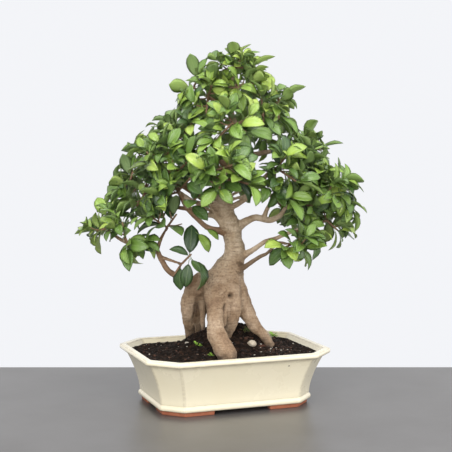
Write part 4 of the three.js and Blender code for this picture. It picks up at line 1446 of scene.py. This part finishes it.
def leaf_finish(name, under):
    """The blade's green, by age, with its midrib and its fine side veins."""
    finish, shader = new_finish(name, coat_weight=0.0 if under else 0.4, coat_roughness=0.24, ior=1.45)
    mottled = mottle(finish, 70, 600, 0.05)
    uneven = math_of(finish, "MULTIPLY_ADD", mottled["Blotches"], 0.25, -0.125)
    green = ramp(
        finish, math_of(finish, "ADD", painted(finish, "tone"), uneven),
        (0.0, (0.022, 0.052, 0.018)), (0.3, (0.062, 0.130, 0.028)), (0.6, (0.155, 0.270, 0.045)),
        (0.85, (0.28, 0.42, 0.06)), (1.0, (0.42, 0.54, 0.10)),
    )
    if under:
        green = blend(finish, 0.45, green, (0.26, 0.34, 0.15))
    uv = node(finish, "ShaderNodeUVMap", uv_map="UVMap").outputs["UV"]
    parts = node(finish, "ShaderNodeSeparateXYZ", {"Vector": uv}).outputs
    beside = math_of(finish, "ABSOLUTE", math_of(finish, "SUBTRACT", parts["Y"], 0.5))
    rib = level_of(finish, beside, 0.045, 0.012)
    slant = math_of(finish, "MULTIPLY_ADD", beside, -0.55, parts["X"])
    veins = math_of(finish, "SINE", math_of(finish, "MULTIPLY", slant, 75.0))
    light = blend(finish, 0.17, green, (0.42, 0.52, 0.22))
    veined = blend(finish, level_of(finish, veins, 0.6, 1.0, 0.3), green, light)
    feed(shader, "Base Color", blend(finish, rib, veined, light))
    smooth, dull = (0.5, 0.62) if under else (0.26, 0.4)
    feed(shader, "Roughness", ramp(finish, mottled["Blotches"], (0.3, (smooth,) * 3), (0.7, (dull,) * 3)))
    bump(finish, shader, math_of(finish, "SUBTRACT", veins, rib), 0.00025)
    return finish


leaf_top = leaf_finish("leaf_upper_face", False)
leaf_under = leaf_finish("leaf_lower_face", True)
twig_bark = speckled_finish(
    "green_twig_bark", (110, 700, 0.2), [(0.3, (0.13, 0.065, 0.035)), (0.7, (0.27, 0.17, 0.09))],
    (0.07, 0.04, 0.025), 0.0005, roughness=0.7,
)
twigs_of = [
    [twig_of(seat, tip, i == 0) for i, tip in enumerate(spray[2])] for seat, spray in zip(seats, SPRAYS)
]
taken = Taken(TAKEN_ROOM)


def note_limb(limb, owner):
    count = math.ceil(curve_length(limb) / 6)
    for i in range(count + 1):
        taken.add(curve_point(limb, i / count), radius_at(limb, i / count), owner)


for limb in [*LIMBS.values(), *stubs]:
    note_limb(limb, -1)
for owner, twigs in enumerate(twigs_of):
    for twig in twigs:
        note_limb(twig, owner)
leaves_of = [main_leaves(twigs, owner, taken) for owner, twigs in enumerate(twigs_of)]
for owner, twigs in enumerate(twigs_of):
    draw = random.Random(100 + owner)
    shoots = side_shoots(twigs, draw)
    grown = leaves_of[owner] + extra_leaves(twigs, shoots, owner, taken, draw)
    leaves = [(leaf, tone_of(leaf, t, draw)) for leaf, t in grown]
    if owner == LONE_OWNER:
        shoots = []
        leaves = [lone_leaf(*given) for given in LONE_LEAVES]
    name = f"spray_{owner + 1:02d}"
    mesh = spray_mesh(twigs, shoots, leaves, draw)
    spray = piece_from(f"leafy_{name}", mesh, TREE_PLACE, leaf_top, leaf_under, twig_bark)
    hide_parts(name)

# Small bright seedlings have come up in the soil round the roots, each a few tiny leaves on short stalks.
# A tuft of dark moss grows on the hill behind them.
# A seedling has the point of the picture where it is seen, and the length of its leaves.
SEEDLINGS = [((196, 345), 8), ((200, 346), 5), ((211, 356), 7), ((273, 336), 12)]
SEEDLING_LEAVES = 7
MOSS_AT = (247, 330)
MOSS_SPIKES = 90


def seedling_mesh(draw):
    """Each seedling's leaves stand one over the other, turned all ways."""
    mesh = bmesh.new()
    for spot, size in SEEDLINGS:
        foot = on_soil(*spot)
        for i in range(SEEDLING_LEAVES):
            turn = GOLDEN_ANGLE * i
            aim = Vector((math.cos(turn), math.sin(turn), 0.5 + 0.12 * i)).normalized()
            face = (Vector((0, 0, 1)) - aim * aim.z).normalized()
            start = foot + Vector((draw.uniform(-2, 2), draw.uniform(-2, 2), 0.5 * i))
            leaf = (start, aim, face, size * draw.uniform(0.7, 1.1), 0.5)
            for vert in add_blade(mesh, blades[0]):
                along, across, rise = vert.co
                vert.co = leaf_point(leaf, along, across * 1.3, rise)
    return mesh


def moss_mesh(draw):
    """Short soft spikes that stand close together."""
    mesh = bmesh.new()
    for _ in range(MOSS_SPIKES):
        foot = on_soil(MOSS_AT[0] + draw.gauss(0, 2.4), MOSS_AT[1] + draw.gauss(0, 1.2))
        height = draw.uniform(2.5, 5)
        lean = Matrix.Rotation(draw.gauss(0, 0.35), 4, "X") @ Matrix.Rotation(draw.gauss(0, 0.35), 4, "Y")
        bmesh.ops.create_cone(
            mesh, cap_ends=True, segments=4, radius1=1.1, radius2=0.1, depth=height,
            matrix=Matrix.Translation(foot) @ lean @ Matrix.Translation((0, 0, height * 0.35)),
        )
    return mesh


draw = random.Random(9)
seedling_green = speckled_finish(
    "seedling_green", (240, 900, 0.1), [(0.3, (0.20, 0.40, 0.05)), (0.7, (0.42, 0.66, 0.10))],
    (0.20, 0.40, 0.05), 0, roughness=0.6,
)
seedlings = piece_from("seedlings", seedling_mesh(draw), POT_PLACE, seedling_green)
moss_green = speckled_finish(
    "moss_green", (240, 900, 0.1), [(0.3, (0.035, 0.055, 0.012)), (0.7, (0.12, 0.15, 0.03))],
    (0.035, 0.055, 0.012), 0, roughness=0.6,
)
moss = piece_from("moss", moss_mesh(draw), POT_PLACE, moss_green)

# The tree stands on a plain grey table, set square to the camera, in a white room. Its light is soft and
# comes from three big lamps: one overhead, one in front to the left, and a weak one to the right.
TABLE_TURN = math.radians(-20.3)
TABLE_MIDDLE = (0, -465, 0)
TABLE_HALF_SIZE = (1400, 800)
CROWN_AT = Vector((0, 0, 350))

table_mesh = bmesh.new()
bmesh.ops.create_grid(table_mesh, x_segments=1, y_segments=1, size=1)
bmesh.ops.transform(
    table_mesh, verts=table_mesh.verts,
    matrix=POT_PLACE @ Matrix.Rotation(TABLE_TURN, 4, "Z") @ Matrix.Translation(TABLE_MIDDLE)
    @ Matrix.Diagonal((*TABLE_HALF_SIZE, 1, 1)),
)
table = put("table", data_from("table", table_mesh))
table_top, table_shader = new_finish("grey_table", roughness=0.32)
table_blotches = mottle(table_top, 5, 300, 0.1)["Blotches"]
table_grey = ramp(table_top, table_blotches, (0.3, (0.088, 0.082, 0.077)), (0.7, (0.115, 0.109, 0.105)))
feed(table_shader, "Base Color", table_grey)
table.data.materials.append(table_top)

world = bpy.data.worlds.new("white_room")
world.use_nodes = True
background = world.node_tree.nodes["Background"]
background.inputs["Color"].default_value = (0.90, 0.91, 0.94, 1)
background.inputs["Strength"].default_value = 1.0
bpy.context.scene.world = world
bpy.context.scene.view_settings.view_transform = "Standard"


def add_lamp(name, at, size, power):
    """A square soft lamp that shines on the crown."""
    lamp = put(name, bpy.data.lights.new(name, "AREA"))
    lamp.data.size = size
    lamp.data.energy = power
    look_from(lamp, Vector(at), CROWN_AT)


add_lamp("overhead_lamp", (-200, -700, 2300), 1.4, 34)
add_lamp("window_lamp", (-1300, -2200, 1000), 1.4, 38)
add_lamp("fill_lamp", (1900, -1500, 900), 1.5, 18)
